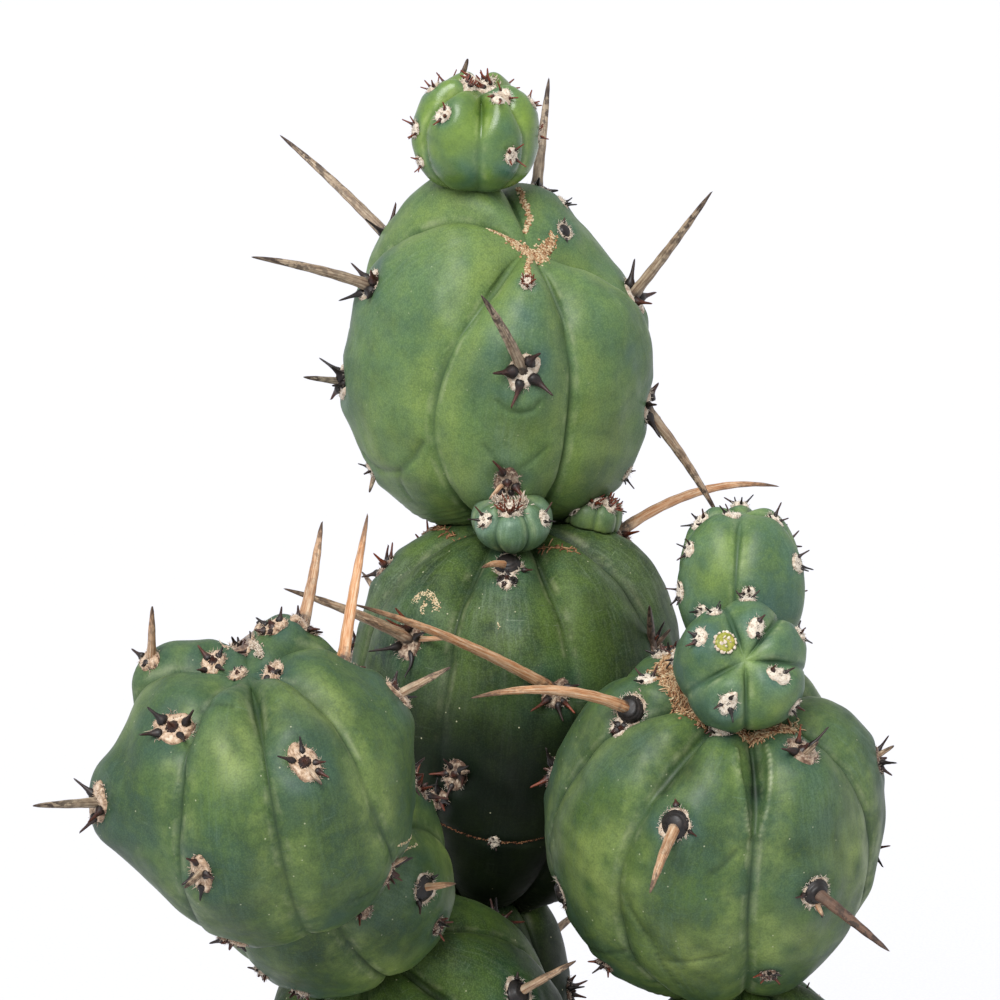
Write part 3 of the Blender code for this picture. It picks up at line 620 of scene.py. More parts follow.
def press_against(points, centre, neighbours):
    """Draws the points that would sink into a neighbour back towards this joint's centre."""
    for neighbour in neighbours:
        low, high = neighbour.box
        near = np.flatnonzero(((points > low - MM) & (points < high + MM)).all(1))
        for index in near:
            place = Vector(points[index])
            for _ in range(14):
                spot, normal, _, _ = neighbour.tree.find_nearest(place)
                depth = (place - spot).dot(normal)
                if depth >= SEAT_GAP * 0.9:
                    break
                inward = (centre - place).normalized()
                place += inward * ((SEAT_GAP - depth) / max(0.4, inward.dot(normal)))
            points[index] = place


def joint_skin(name, spacing):
    """(points, faces, painted values) of a joint's skin, with its creases, folds and pads."""
    joint = JOINTS[name]
    azimuths = []
    for rib, crease in enumerate(joint.creases):
        width = (joint.creases[(rib + 1) % len(joint.creases)] - crease) % 360
        count = max(8, round(math.radians(width) * joint.radius / spacing))
        azimuths.extend(crease + width * np.arange(count) / count)
    columns = len(azimuths)
    rings = round(math.pi * (joint.radius + joint.rise) / 2 / spacing)
    latitudes = np.linspace(-90, 90, rings + 2)[1:-1]
    latitude, azimuth = np.meshgrid(latitudes, np.array(azimuths), indexing="ij")
    grid = joint.point(azimuth, latitude)
    to_right = np.roll(grid, -1, 1) - np.roll(grid, 1, 1)
    to_tip = np.gradient(grid, axis=0)
    normals = np.cross(to_right, to_tip)
    normals /= np.linalg.norm(normals, axis=-1, keepdims=True)

    points = np.vstack([grid.reshape(-1, 3), joint.point(0, -90), joint.point(0, 90)])
    ends = [unit(joint.point(0, pole) - joint.centre) for pole in (-90, 90)]
    normals = np.vstack([normals.reshape(-1, 3), *ends])
    azimuth = np.append(azimuth.ravel(), (0, 0))
    latitude = np.append(latitude.ravel(), (-90, 90))

    size = joint.radius / USUAL_RADIUS
    fade = 1 - joint.pole_share(latitude)
    girth = joint.radius * np.maximum(0.02, np.cos(np.radians(latitude)))
    from_crease = np.radians(joint.from_crease(azimuth)) * girth
    depth_here = 0.75 + 0.25 * undulation(points, 30 * MM, 11)
    # the narrow line of each crease, which the skin material paints dark as painted shade
    crease = bell(from_crease, 0.6 * MM) * fade * np.clip(depth_here, 0.3, 1)
    if name == "stem_body":  # its creases only bite near its tip
        crease *= 0.25 + 0.75 * smooth_step((latitude - 8) / 35)
    sharp = CREASE_DEPTH.get(name, 1.0)
    push = -CREASE_CUT * size * sharp * crease
    push += -CREASE_DIP * size * sharp * bell(from_crease, 3.0 * MM) * fade
    push += SWELLING * undulation(points, 26 * MM, 12) * size
    push += DIMPLES * undulation(points, 9 * MM, 13) * size
    neck = smooth_step((-latitude - 45) / 30)
    push += NECK_RINGS * size * np.sin(latitude * 1.6 + 1.5 * undulation(points, 14 * MM, 14)) * neck

    tints = {tint: np.zeros(len(points)) for tint in ("blue", "yellow", "stain", "dusty", "dark")}
    patchy = 0.85 + 0.25 * undulation(points, 7 * MM, 15)
    for tint, spots in TINTS.get(name, {}).items():
        for spot_azimuth, spot_latitude, reach, amount in spots:
            apart = np.linalg.norm(points - joint.point(spot_azimuth, spot_latitude), axis=1)
            spread = amount * patchy * bell(apart, reach * MM)
            tints[tint] = np.maximum(tints[tint], spread)
    for place_azimuth, place_latitude, half_length, turn, kind in AREOLES[name]:
        foot, normal, tip_way, right_way = joint.tangent_frame(place_azimuth, place_latitude)
        apart = points - foot
        away = np.linalg.norm(apart, axis=1)
        up, side = apart @ tip_way, apart @ right_way
        reach, scale = half_length * MM, half_length / 5
        push += -HOLLOW_DEPTH * scale * bell(away, 0.8 * reach)
        push += HOLLOW_RIM * scale * bell(away - 1.5 * reach, 0.6 * reach)
        below = np.hypot(up + 1.9 * reach, side)
        push += CHIN_HEIGHT * scale * bell(below, 1.3 * reach)
        tints["blue"] = np.maximum(tints["blue"], patchy * bell(away, 2.1 * reach))
    ridge_line = np.zeros(len(points))
    for depth, width, *places in FOLDS.get(name, ()):
        apart = fold_distance(joint, places, points)
        push -= depth * MM * bell(apart, width * MM)
        if depth < 0:
            ridge_line = np.maximum(ridge_line, bell(apart, 0.6 * MM))
        else:
            crease = np.maximum(crease, 0.8 * bell(apart, 0.7 * MM))
    points = points + normals * push[:, None]

    neighbours = [JOINTS[neighbour] for neighbour in SEATED_ON.get(name, ())]
    press_against(points, Vector(joint.centre), neighbours)
    # how close each point is to a joint it presses on, painted darker there as a brown neck and as painted
    # shade
    seat = np.zeros(len(points))
    for neighbour in neighbours:
        low, high = neighbour.box
        near = np.flatnonzero(((points > low - 8 * MM) & (points < high + 8 * MM)).all(1))
        gaps = [neighbour.tree.find_nearest(Vector(points[i]))[3] for i in near]
        seat[near] = np.maximum(seat[near], np.exp(-np.array(gaps) / (2.5 * MM)))

    root, tip, last = len(points) - 2, len(points) - 1, (rings - 1) * columns
    sides = [(i, (i + 1) % columns) for i in range(columns)]
    faces = turned_faces(rings, columns).tolist() + [[root, beside, i] for i, beside in sides]
    faces += [[last + i, last + beside, tip] for i, beside in sides]
    along_rib = np.stack([np.radians(azimuth) * joint.radius, np.radians(latitude) * joint.rise,
                          np.zeros(len(points))], -1) / MM
    shaded = 0.35 + 0.65 * smooth_step(0.5 + 0.5 * np.cos(np.radians(azimuth)))
    painted = {
        "crease": crease,
        # darkened towards the root by age and by painted shade, most of all at the front
        "aged": smooth_step((AGE_AND_SHADE_BELOW.get(name, -180) - latitude) / AGE_AND_SHADE_FADE) * shaded,
        "edge": np.maximum(bell(from_crease - 1.5 * MM, 0.7 * MM) * fade, 2.5 * ridge_line),
        "band": bell(from_crease - 5 * MM * size, 4 * MM * size) * fade,
        "crest": smooth_step(1 - joint.across_rib(azimuth) / 0.55) * fade,
        **tints,
        "seat": seat,
        "along_rib": along_rib,
    }
    return points, faces, painted


# The living skin: a waxy, leathery cuticle over green flesh, so its gloss is soft. It is
# blue-green round the areoles, where its wax is thickest, yellow-green beside the creases,
# and stippled with pale pores. Older skin is darker, mottled, dusty with bloom, and specked.
# A skin's colours are three tones of its flesh and one of each layer over it; its shares say
# how much of a layer shows, and its gloss is the strength of its reflection.
SKINS = {
    "old_skin": {"tones": ("#1a2813", "#2e401d", "#445b26"), "deep": "#152111", "yellow": "#566b2a",
        "blue": "#2c4a3b", "bloom": "#7a8872", "bloom_share": 0.3, "pore": "#687a50",
        "speck": "#aeac8d", "speck_share": 0.8, "stipple": 0.26, "warm": "#4f6529", "patch": 0.35,
        "gloss": 0.18, "roughness": (0.45, 0.62)},
    "skin": {"tones": ("#3f5636", "#4f6a3b", "#5c7440"), "deep": "#2f4529", "yellow": "#7a8c43",
        "blue": "#3a564c", "bloom": "#768c78", "bloom_share": 0.28, "pore": "#7d905f",
        "speck": "#b9bb9c", "speck_share": 0.25, "stipple": 0.22, "warm": "#6c803c", "patch": 0.22,
        "gloss": 0.32, "roughness": (0.42, 0.56)},
    "branch_skin": {"tones": ("#283b20", "#354b27", "#425a2b"), "deep": "#1f311d", "yellow": "#84944f",
        "blue": "#2f4a40", "bloom": "#5f7562", "bloom_share": 0.28, "pore": "#5f7444",
        "speck": "#b0b294", "speck_share": 0.5, "stipple": 0.18, "warm": "#566c33", "patch": 0.4,
        "gloss": 0.3, "roughness": (0.42, 0.56)},
    "offset_skin": {"tones": ("#334b33", "#435e3c", "#56713c"), "deep": "#2a442c", "yellow": "#7c9142",
        "blue": "#3f5b53", "bloom": "#78907b", "bloom_share": 0.2, "pore": "#7c9769",
        "speck": "#b9bf9c", "speck_share": 0.1, "stipple": 0.16, "warm": "#647c38", "patch": 0.35,
        "gloss": 0.35, "roughness": (0.42, 0.54)},
    "young_skin": {"tones": ("#425c27", "#566e29", "#6a8332"), "deep": "#2f4a1c", "yellow": "#7c942f",
        "blue": "#36584a", "bloom": "#7c9a67", "bloom_share": 0.1, "pore": "#86a252",
        "speck": "#b9c38c", "speck_share": 0.05, "stipple": 0.1, "warm": "#728c2c", "patch": 0.2,
        "gloss": 0.5, "roughness": (0.24, 0.36)},
}


DEEP_SHADE = "#111c0d"


def skin_material(name, look):
    skin = new_material(name)
    where = add_node(skin, "TexCoord")["Object"]
    along_rib = add_node(skin, "Attribute", attribute_name="along_rib")["Vector"]
    marks = {label: add_node(skin, "Attribute", attribute_name=label)["Fac"]
             for label in ("crease", "edge", "band", "crest", "seat", "aged",
                           "blue", "yellow", "stain", "dusty", "dark")}

    dark, middle, light = look["tones"]
    cloudy = add_node(skin, "TexNoise", where, Scale=1000 / 24, Detail=3.0)["Fac"]
    paint = add_node(skin, "ValToRGB", cloudy, stops=((0.33, dark), (0.5, middle), (0.68, light)))["Color"]

    blotches = add_node(skin, "TexNoise", where, Scale=1000 / 7, Detail=6.0, Roughness=0.62)["Fac"]
    streak_scale = add_node(skin, "Mapping", along_rib, Scale=(1 / 1.4, 1 / 12, 1.0))[0]
    streaks = add_node(skin, "TexNoise", streak_scale, Scale=1.0, Detail=6.0, Roughness=0.7)["Fac"]
    patches = add_node(skin, "TexNoise", where, Scale=1000 / 6.5, Detail=6.0, Roughness=0.7,
                       Distortion=0.4)["Fac"]
    pores = add_node(skin, "TexVoronoi", where, Scale=1000 / 0.5, Randomness=1.0)["Distance"]
    mottle = add_node(skin, "TexNoise", where, Scale=1000 / 3.4, Detail=5.0, Roughness=0.6,
                      Distortion=0.6)["Fac"]
    grain = add_node(skin, "TexNoise", where, Scale=1000 / 1.6, Detail=6.0, Roughness=0.75)["Fac"]
    scratch_scale = add_node(skin, "Mapping", along_rib, Rotation=(0, 0, 0.5),
                             Scale=(1 / 9.0, 1 / 0.7, 1.0))[0]
    scratches = add_node(skin, "TexNoise", scratch_scale, Scale=1.0, Detail=3.0, Distortion=0.8)["Fac"]
    cells = add_node(skin, "TexVoronoi", where, Scale=1000 / 3.4, Randomness=1.0)
    speck = add_node(skin, "MapRange", cells["Distance"], From_Min=0.085, From_Max=0.045)[0]
    lottery = add_node(skin, "SeparateColor", cells["Color"])["Red"]
    chosen = add_node(skin, "Math", lottery, 0.5, operation="GREATER_THAN")[0]
    speck = add_node(skin, "Math", speck, chosen, operation="MULTIPLY")[0]

    masks = {}
    for label, pattern, none_at, all_at in (
        ("deep", blotches, 0.5, 0.68), ("cool", patches, 0.48, 0.66),
        ("warm", patches, 0.52, 0.36), ("pore", pores, 0.5, 0.15),
        ("net", pores, 0.42, 0.7), ("streak", streaks, 0.48, 0.7),
        ("pale", blotches, 0.55, 0.35), ("grain", grain, 0.5, 0.66),
        ("scratch", scratches, 0.66, 0.74), ("mottle", mottle, 0.46, 0.56),
    ):
        masks[label] = add_node(skin, "MapRange", pattern, From_Min=none_at, From_Max=all_at)[0]
    joined = {}
    for mark, mask in (("band", "pale"), ("crest", "streak"), ("edge", "pale"), ("stain", "mottle"),
                       ("dusty", "streak")):
        joined[mark] = add_node(skin, "Math", marks[mark], masks[mask], operation="MULTIPLY")[0]
    for mask, share, colour in (
        # painted shade from the dark tint
        (marks["dark"], 0.5, DEEP_SHADE),
        (masks["deep"], 0.42, look["deep"]),
        (masks["cool"], look["patch"], look["blue"]),
        (masks["warm"], look["patch"], look["warm"]),
        (marks["band"], 0.3, look["warm"]),
        (joined["band"], 0.35, look["yellow"]),
        (marks["yellow"], 0.75, look["yellow"]),
        (marks["blue"], 0.78, look["blue"]),
        (joined["stain"], 0.75, "#1d3029"),
        (masks["streak"], look["bloom_share"] * 0.25, look["bloom"]),
        (joined["crest"], look["bloom_share"] * 0.6, look["bloom"]),
        (marks["dusty"], 0.22, look["bloom"]),
        (joined["dusty"], 0.5, look["bloom"]),
        (masks["grain"], 0.3, look["deep"]),
        (masks["scratch"], look["speck_share"] * 0.5, look["bloom"]),
        (masks["net"], look["stipple"], look["deep"]),
        (masks["pore"], look["stipple"] * 0.7, look["pore"]),
        (joined["edge"], 0.22, look["speck"]),
        # painted shade along the creases and folds
        (marks["crease"], 0.72, look["deep"]),
        # painted shade from the dark tint, laid again over the layers above
        (marks["dark"], 0.5, DEEP_SHADE),
        # painted shade and age: the lower skin darkened nearly to black, most at its front
        (marks["aged"], 0.88, "#080d07"),
        # painted shade and a brown neck where a joint presses against its neighbour
        (marks["seat"], 0.6, "#2b2a18"),
        (speck, look["speck_share"], look["speck"]),
    ):
        amount = add_node(skin, "Math", mask, share, operation="MULTIPLY")[0]
        paint = add_node(skin, "Mix", amount, A_Color=paint, B_Color=linear(colour))[2]

    low, high = look["roughness"]
    gloss = add_node(skin, "MapRange", blotches, From_Min=0.35, From_Max=0.65, To_Min=low, To_Max=high)[0]
    coarse = add_node(skin, "Bump", Height=blotches, Strength=0.3, Distance=0.3 * MM)[0]
    fine = add_node(skin, "Bump", Height=pores, Normal=coarse, Strength=0.2, Distance=0.1 * MM)[0]
    add_node(skin, "Principled", Base_Color=paint, Roughness=gloss, Normal=fine, IOR=1.45,
             Specular_IOR_Level=look["gloss"])
    return skin


SKIN_OF = {"crown_offset": "young_skin"}
for name in ("stem_base", "stem_waist", "stem_body", "left_branch_lower", "right_branch_lower"):
    SKIN_OF[name] = "old_skin"
BRANCH_SKIN = ("left_branch_middle", "left_branch_tip", "right_branch_upper")
skin_materials = {name: skin_material("cactus_cuticle_" + name, look) for name, look in SKINS.items()}
for name, joint in JOINTS.items():
    spacing = SKIN_SPACING * 1 * (0.6 if "offset" in name else 1)
    points, faces, painted = joint_skin(name, spacing)
    joint.tree = BVHTree.FromPolygons(points.tolist(), faces)
    joint.box = (points.min(0), points.max(0))
    skin_slot = SKIN_OF.get(name, "skin")
    look = "offset_skin" if "offset" in name and skin_slot == "skin" else skin_slot
    look = "branch_skin" if name in BRANCH_SKIN else look
    make_piece(name + "_flesh", points, faces, skin_materials[look], skin_slot, [name], **painted)


# ------------------------------------------------------------------------------------------
# The areoles' felt
# Every spine grows out of a pad of short matted hairs, like worn felt, that sits in a small
# hollow of the rib. New pads are creamy; old ones are brown and ragged, or nearly worn away.


class Heap:
    """Many small shapes gathered into one piece, with a painted value for each point."""

    def __init__(self):
        self.points = []
        self.faces = []
        self.painted = {}
        self.count = 0

    def add(self, points, faces, **painted):
        points = np.asarray(points, float).reshape(-1, 3)
        self.points.append(points)
        self.faces.extend([corner + self.count for corner in face] for face in faces)
        self.count += len(points)
        for label, values in painted.items():
            values = np.asarray(values, float)
            if values.ndim == 0:
                values = np.full(len(points), values)
            self.painted.setdefault(label, []).append(values)

    def make(self, name, material, slot, replaced=()):
        painted = {label: np.concatenate(values) for label, values in self.painted.items()}
        points = np.concatenate(self.points)
        return make_piece(name, points, self.faces, material, slot, replaced, **painted)


def skin_height(joint, place, normal):
    """How far the finished skin stands above that place, measured along the normal."""
    start = 12 * MM  # far enough out to be clear of every rib
    hit = joint.tree.ray_cast(Vector(place + normal * start), Vector(-normal), 2 * start)
    return start - hit[3] if hit[0] is not None else 0.0


def onto_skin(joint, place, normal, rise=0.0):
    """That place moved along the normal to stand that far above the finished skin."""
    return place + normal * (skin_height(joint, place, normal) + rise)


def areole_place(joint, areole):
    """(spot on the finished skin, normal, the way the pad's length runs, the way across it)."""
    azimuth, latitude, _, turn, _ = areole
    foot, normal, to_tip, to_right = joint.tangent_frame(azimuth, latitude)
    foot = onto_skin(joint, foot, normal)
    turn = math.radians(turn)
    length_way = to_tip * math.cos(turn) + to_right * math.sin(turn)
    return foot, normal, length_way, np.cross(length_way, normal)


PAD_ROWS = 8
PAD_COLUMNS = 26
# half width as a share of half length, thickness in millimetres, hairs, how dark, hole share
PAD_KINDS = {
    "net": (0.82, 1.1, 170, 0.1, 0.0),
    "felt": (0.66, 1.2, 200, 0.2, 0.0),
    "knobs": (0.8, 1.1, 170, 0.15, 0.0),
    "rough": (0.8, 1.1, 170, 0.52, 0.0),
    "socket": (0.94, 0.8, 130, 0.2, 0.84),
    "slim": (0.7, 1.0, 120, 0.02, 0.0),
    "young": (0.9, 1.0, 110, 0.02, 0.0),
    "tuft": (0.85, 1.8, 260, 0.02, 0.0),
}
HAIR_CORNERS = (0, 2.09, 4.19)  # a hair has three sides, and narrows through its waist to its tip
HAIR_FACES = [[2, 1, 0], [0, 1, 4, 3], [1, 2, 5, 4], [2, 0, 3, 5], [3, 4, 6], [4, 5, 6], [5, 3, 6]]


def felt_pad(heap, joint, areole, chance):
    """A matted pad that follows the skin under it, and the loose hairs that stand out of it."""
    _, _, half_length, _, kind = areole
    width_share, thickness, hairs, dark, hole = PAD_KINDS[kind]
    foot, normal, length_way, width_way = areole_place(joint, areole)
    angles = np.arange(PAD_COLUMNS) * math.tau / PAD_COLUMNS
    lobes = sum(np.sin(angles * k + chance.uniform(0, math.tau)) / k ** 0.5 for k in (2, 3, 5, 7))
    ragged = 1 + 0.10 * lobes
    points, shade = [], []
    for share in np.linspace(0.0, 1.0, PAD_ROWS + 1):
        for angle, edge in zip(angles if share else (0.0,), ragged):
            along = math.cos(angle) * half_length * MM * share * edge
            across = math.sin(angle) * half_length * MM * width_share * share * edge
            place = foot + length_way * along + width_way * across
            swell = math.sqrt(max(0.0, 1 - share ** 3.2))
            if hole:
                swell *= smooth_step((share - hole * 0.75) / (hole * 0.3)) * 1.2
            lump = chance.normal(0, 0.11) * (share < 0.99)
            rise = thickness * (swell + lump) - 0.5 * (share > 0.99)
            points.append(onto_skin(joint, place, normal, rise * MM))
            shade.append(dark + 0.3 * smooth_step((share - 0.75) / 0.25) + chance.normal(0, 0.12))
    faces = [[0, 1 + (i + 1) % PAD_COLUMNS, 1 + i][::-1] for i in range(PAD_COLUMNS)]
    faces += [[corner + 1 for corner in face] for face in turned_faces(PAD_ROWS, PAD_COLUMNS).tolist()]
    faces.append([1 + (PAD_ROWS - 1) * PAD_COLUMNS + i for i in range(PAD_COLUMNS)][::-1])
    heap.add(points, faces, shade=shade)

    for _ in range(hairs):
        share = math.sqrt(chance.uniform(hole ** 2, 1.0))
        angle = chance.uniform(0, math.tau)
        out = length_way * math.cos(angle) + width_way * math.sin(angle) * width_share
        place = foot + out * (half_length * MM * share)
        place = onto_skin(joint, place, normal, thickness * 0.7 * MM * (1 - share ** 3))
        way = normal * chance.uniform(0.1, 0.8) + out * share * chance.uniform(0.2, 1.1)
        way = unit(way + chance.normal(0, 0.4, 3))
        curl = chance.normal(0, 0.5, 3)
        length = chance.uniform(0.6, 1.5) * MM * (0.7 + 0.06 * half_length)
        side = unit(np.cross(way, chance.normal(size=3)))
        other = np.cross(way, side)
        girth = chance.uniform(0.07, 0.13) * MM
        middle = place + way * length * 0.55
        tip = place + (way + curl * 0.5) * length
        corners = [centre + (side * math.cos(a) + other * math.sin(a)) * girth * share
                   for centre, share in ((place, 1.0), (middle, 0.8)) for a in HAIR_CORNERS]
        tone = dark * chance.uniform(0.2, 1.1) + chance.normal(0, 0.12)
        heap.add([*corners, tip], HAIR_FACES, shade=tone)


# Matted plant hairs: dry, dead and matt, so they scatter light like felt and never shine.
# They go from cream through tan to a burnt brown as they age. Hairs are drawn about three
# times as thick as they grow, so that they show.
def felt_material(name, stops):
    felt = new_material(name)
    where = add_node(felt, "TexCoord")["Object"]
    age = add_node(felt, "Attribute", attribute_name="shade")["Fac"]
    matting = add_node(felt, "TexNoise", where, Scale=1000 / 1.1, Detail=4.0, Roughness=0.7)["Fac"]
    matting = add_node(felt, "MapRange", matting, From_Min=0.3, From_Max=0.7, To_Min=-0.2, To_Max=0.2)[0]
    age = add_node(felt, "Math", age, matting, operation="ADD")[0]
    hue = add_node(felt, "ValToRGB", age, stops=stops)["Color"]
    nap = add_node(felt, "Bump", Height=matting, Strength=0.7, Distance=0.3 * MM)[0]
    add_node(felt, "Principled", Base_Color=hue, Normal=nap, Roughness=0.95, IOR=1.4, Sheen_Weight=0.25,
             Sheen_Roughness=0.5)
    return felt


felt = felt_material("areole_wool_felted", ((0.0, "#cdc2b2"), (0.32, "#ac9984"), (0.66, "#644b3b"),
                                            (0.98, "#241914")))
tan_felt = felt_material("areole_wool_tan", ((0.0, "#c6b39e"), (0.3, "#a58a70"), (0.55, "#5a4030"),
                                             (0.85, "#1d120d")))

for name, rows in AREOLES.items():
    chance = np.random.default_rng(len(name) * 100 + len(rows))
    heap = Heap()
    for areole in rows:
        felt_pad(heap, JOINTS[name], areole, chance)
    heap.make(name + "_felt", tan_felt if name == "left_branch_tip" else felt, SKIN_OF.get(name, "skin"))


# ------------------------------------------------------------------------------------------
# The spines
# Hard, woody thorns that each end a rib's areole: one long one in the middle of the oldest
# pads, standing out of a swollen black foot, and a ring of short black ones round it.

# Each row: azimuth and latitude of its areole, length in millimetres, how far it leans from
# the skin's normal, which way (0 towards the joint's tip, 90 to the right), how far its middle
# arches upwards in millimetres, and how orange it is from 0 to 1
LONG_SPINES = {
    "stem_base": ((15, 10, 40, 15, 20, 1, 0.3), (-75, 5, 34, 10, 60, 0, 0.2),
        (102, 20, 46, 20, -30, 2, 0.5), (192, 8, 42, 15, 150, 0, 0.2), (-120, 25, 38, 20, 10, 1, 0.3)),
    "stem_waist": ((140, 5, 30, 15, 30, 1, 0.3), (-110, 0, 26, 20, -140, 0, 0.2)),
    "stem_body": ((-45, 27, 44, 21, -59, 1, 0.35), (15, 16, 84, 73, -64, 2, 0.9),
        (66, 21, 20, 75, -28, 0, -0.5), (-3, 64, 15, 58, -150, 1, 0.9), (122, 48, 58, 45, 170, 6, 0.9),
        (178, 20, 50, 20, 30, 2, 0.3), (-138, 5, 44, 25, -60, 1, 0.3)),
    "stem_top": ((-81, 24, 37, 11, 115, 1, 0.15), (-81, -7, 13, 32, 53, 0, 0.0),
        (105, 27, 42, 33, 6, 0, 0.2), (81, -8, 42, 56, 165, 1, 0.25), (6, 25, 36, 62, -41, 1, 0.15),
        (-126, 20, 52, 17, -93, 1, 0.15), (176, 48, 38, 26, 155, 0, 0.1),
        (150, -5, 36, 20, 120, 0, 0.2), (-150, -15, 40, 20, -150, 1, 0.2)),
    "left_branch_lower": ((71, 27, 20, 15, 102, 0, 0.4), (10, 0, 34, 25, 160, 0, 0.3),
        (-42, 5, 30, 15, -90, 1, 0.3)),
    "left_branch_middle": ((62, 17, 14, 31, 20, 0, 0.8), (-130, 15, 32, 20, -60, 1, 0.4)),
    "left_branch_tip": ((-79, 14, 20, 17, 26, 0, 0.1), (-119, 50, 16, 45, -18, 0, 0.5),
        (107, 21, 17, 31, -84, 0, 0.3), (143, 56, 34, 47, 97, 0, 0.6), (120, 43, 42, 7, 36, 0, 1.0),
        (-165, -20, 28, 30, 178, 1, 0.4), (-23, 11, 10.3, 20, 40, 0, 0.2)),
    "right_branch_lower": ((25, 5, 34, 20, 150, 0, 0.3), (85, -5, 30, 15, 160, 1, 0.3),
        (-165, -12, 32, 15, 170, 1, 0.3)),
    "right_branch_upper": ((-22, 32, 28, 39, 153, 1, 0.6), (33, 6, 32, 5, 136, 0, -0.6),
        (-88, 52, 54, 32, -178, 4, 0.85), (155, -8, 42, 20, 150, 2, 0.4),
        (178, 32, 34, 12, 0, 1, 0.3)),
    "crown_offset": ((-145, 58, 4.4, 60, 0, 0, -0.4),),
}

# Thinner second spines of the same pads: azimuth, latitude, length, lean, turn, orange share
SLENDER_SPINES = {
    "stem_body": ((-45, 27, 22, 8, -10, 0.5), (-43, 28, 24, 62, 78, 0.9), (-20, -6, 9, 50, 60, 0.3),
        (66, 21, 8, 40, 20, -0.5)),
    "right_branch_upper": ((43, 63, 9, 16, -150, 0.2), (97, 27, 8, 41, -26, 0.3),
        (33, 4, 5, 50, 170, 0.8)),
    "left_branch_tip": ((27, 34, 7, 60, 162, 0.3), (-79, 14, 7, 40, -120, 0.2),
        (54, -20, 6, 50, 60, 0.5)),
    "stem_top": ((4, -31, 7, 50, -120, 0.6), (4, -31, 7, 52, 130, 0.6), (-79, -36, 6, 40, 180, 0.2)),
}
SLENDER_RADIUS = 0.95 * MM
SPINE_ROOT_RADIUS = 1.9 * MM
SPINE_TIP_RADIUS = 0.16 * MM
SPINE_FULL_GIRTH_LENGTH = 30.0  # in millimetres; shorter spines are thinner
SPINE_PROFILE = ((0.0, 1.05), (0.05, 1.0), (0.14, 0.86), (0.4, 0.75), (0.7, 0.54), (0.9, 0.27), (1.0, 0.0))
# A thorn's cut: (share of its length, share of its girth) from foot to tip, how many sides and
# steps it is built of, and how deep its flutes are as a share of its radius
LONG_CUT = (SPINE_PROFILE, 16, 46, 0.07)
SLENDER_CUT = (SPINE_PROFILE, 10, 24, 0.07)
STRAIGHT = np.zeros(3)  # for a thorn whose middle doesn't arch
CUSHION_RADIUS = 4.2 * MM  # of the low cushion that each spine's solid stands on
CUSHION_HEIGHT = 0.7 * MM


def stands_proud(joint, azimuth, latitude, reach):
    """How far the plain skin within reach of a spot rises above the flat that touches it."""
    here, normal, _, _ = joint.tangent_frame(azimuth, latitude)
    span = math.degrees(reach / joint.radius) * 1.2
    highest = 0.0
    for up in (-1, -0.5, 0, 0.5, 1):
        for side in (-1, -0.5, 0, 0.5, 1):
            step = min(60.0, span * side / max(0.2, math.cos(math.radians(latitude))))
            away = joint.point(azimuth + step, min(89.0, latitude + span * up)) - here
            rise = float(away @ normal)
            if np.linalg.norm(away - normal * rise) <= reach:
                highest = max(highest, rise)
    return highest


def thorn_shape(start, way, arch, length, girth, cut, chance, bent=0.0):
    """(points, faces, how far along each point is, its place across and along the grain)."""
    profile, sides, steps, flutes = cut
    side = unit(np.cross(way, [0.3, 0.2, 1.0] if abs(way[2]) < 0.9 else [1.0, 0.1, 0.2]))
    other = np.cross(way, side)
    shares = np.linspace(0, 1, steps) ** 0.85
    angles = np.arange(sides) * math.tau / sides
    phases = chance.uniform(0, math.tau, 3)
    points, along, grain = [], [], []
    for share in shares[:-1]:
        thickness = np.interp(share, *zip(*profile))
        radius = SPINE_TIP_RADIUS + (girth - SPINE_TIP_RADIUS) * thickness
        centre = start + way * (length * share) + arch * (4 * share * (1 - share))
        centre = centre + side * bent * length * math.sin(share * math.pi * 1.3)
        for angle in angles:
            wave = math.sin(3 * angle + phases[0]) * 0.6 + math.sin(5 * angle + phases[1] + share) * 0.4
            knots = math.sin(share * length / MM * 0.9 + phases[2] + 2 * angle)
            groove = (1 + flutes * wave) * (1 + flutes * 0.5 * knots)
            points.append(centre + (side * math.cos(angle) + other * math.sin(angle)) * radius * groove)
            along.append(share)
            grain.append((math.cos(angle) * 1.6, math.sin(angle) * 1.6, share * length / MM))
    points += [start + way * length, start]
    along += [1.0, 0.0]
    grain += [(0, 0, length / MM), (0, 0, 0)]
    faces = turned_faces(steps - 1, sides).tolist()
    last, tip, foot = (steps - 2) * sides, len(points) - 2, len(points) - 1
    for i in range(sides):
        beside = (i + 1) % sides
        faces.append([last + i, last + beside, tip])
        faces.append([beside, i, foot])
    return points, faces, along, np.array(grain)


def thorn(heap, start, way, arch, length, girth, cut, tone, chance, bent=0.0):
    """Adds a tapered thorn with shallow flutes to a heap of spines of their own tones."""
    points, faces, along, grain = thorn_shape(start, way, arch, length, girth, cut, chance, bent)
    heap.add(points, faces, along=along, grain=grain, tone=tone)


def leaning(normal, to_tip, to_right, tilt, turn):
    """(the way that leans by tilt from the normal, the way along the skin that it leans)."""
    turn = math.radians(turn)
    sideways = to_tip * math.cos(turn) + to_right * math.sin(turn)
    return normal * math.cos(tilt) + sideways * math.sin(tilt), sideways


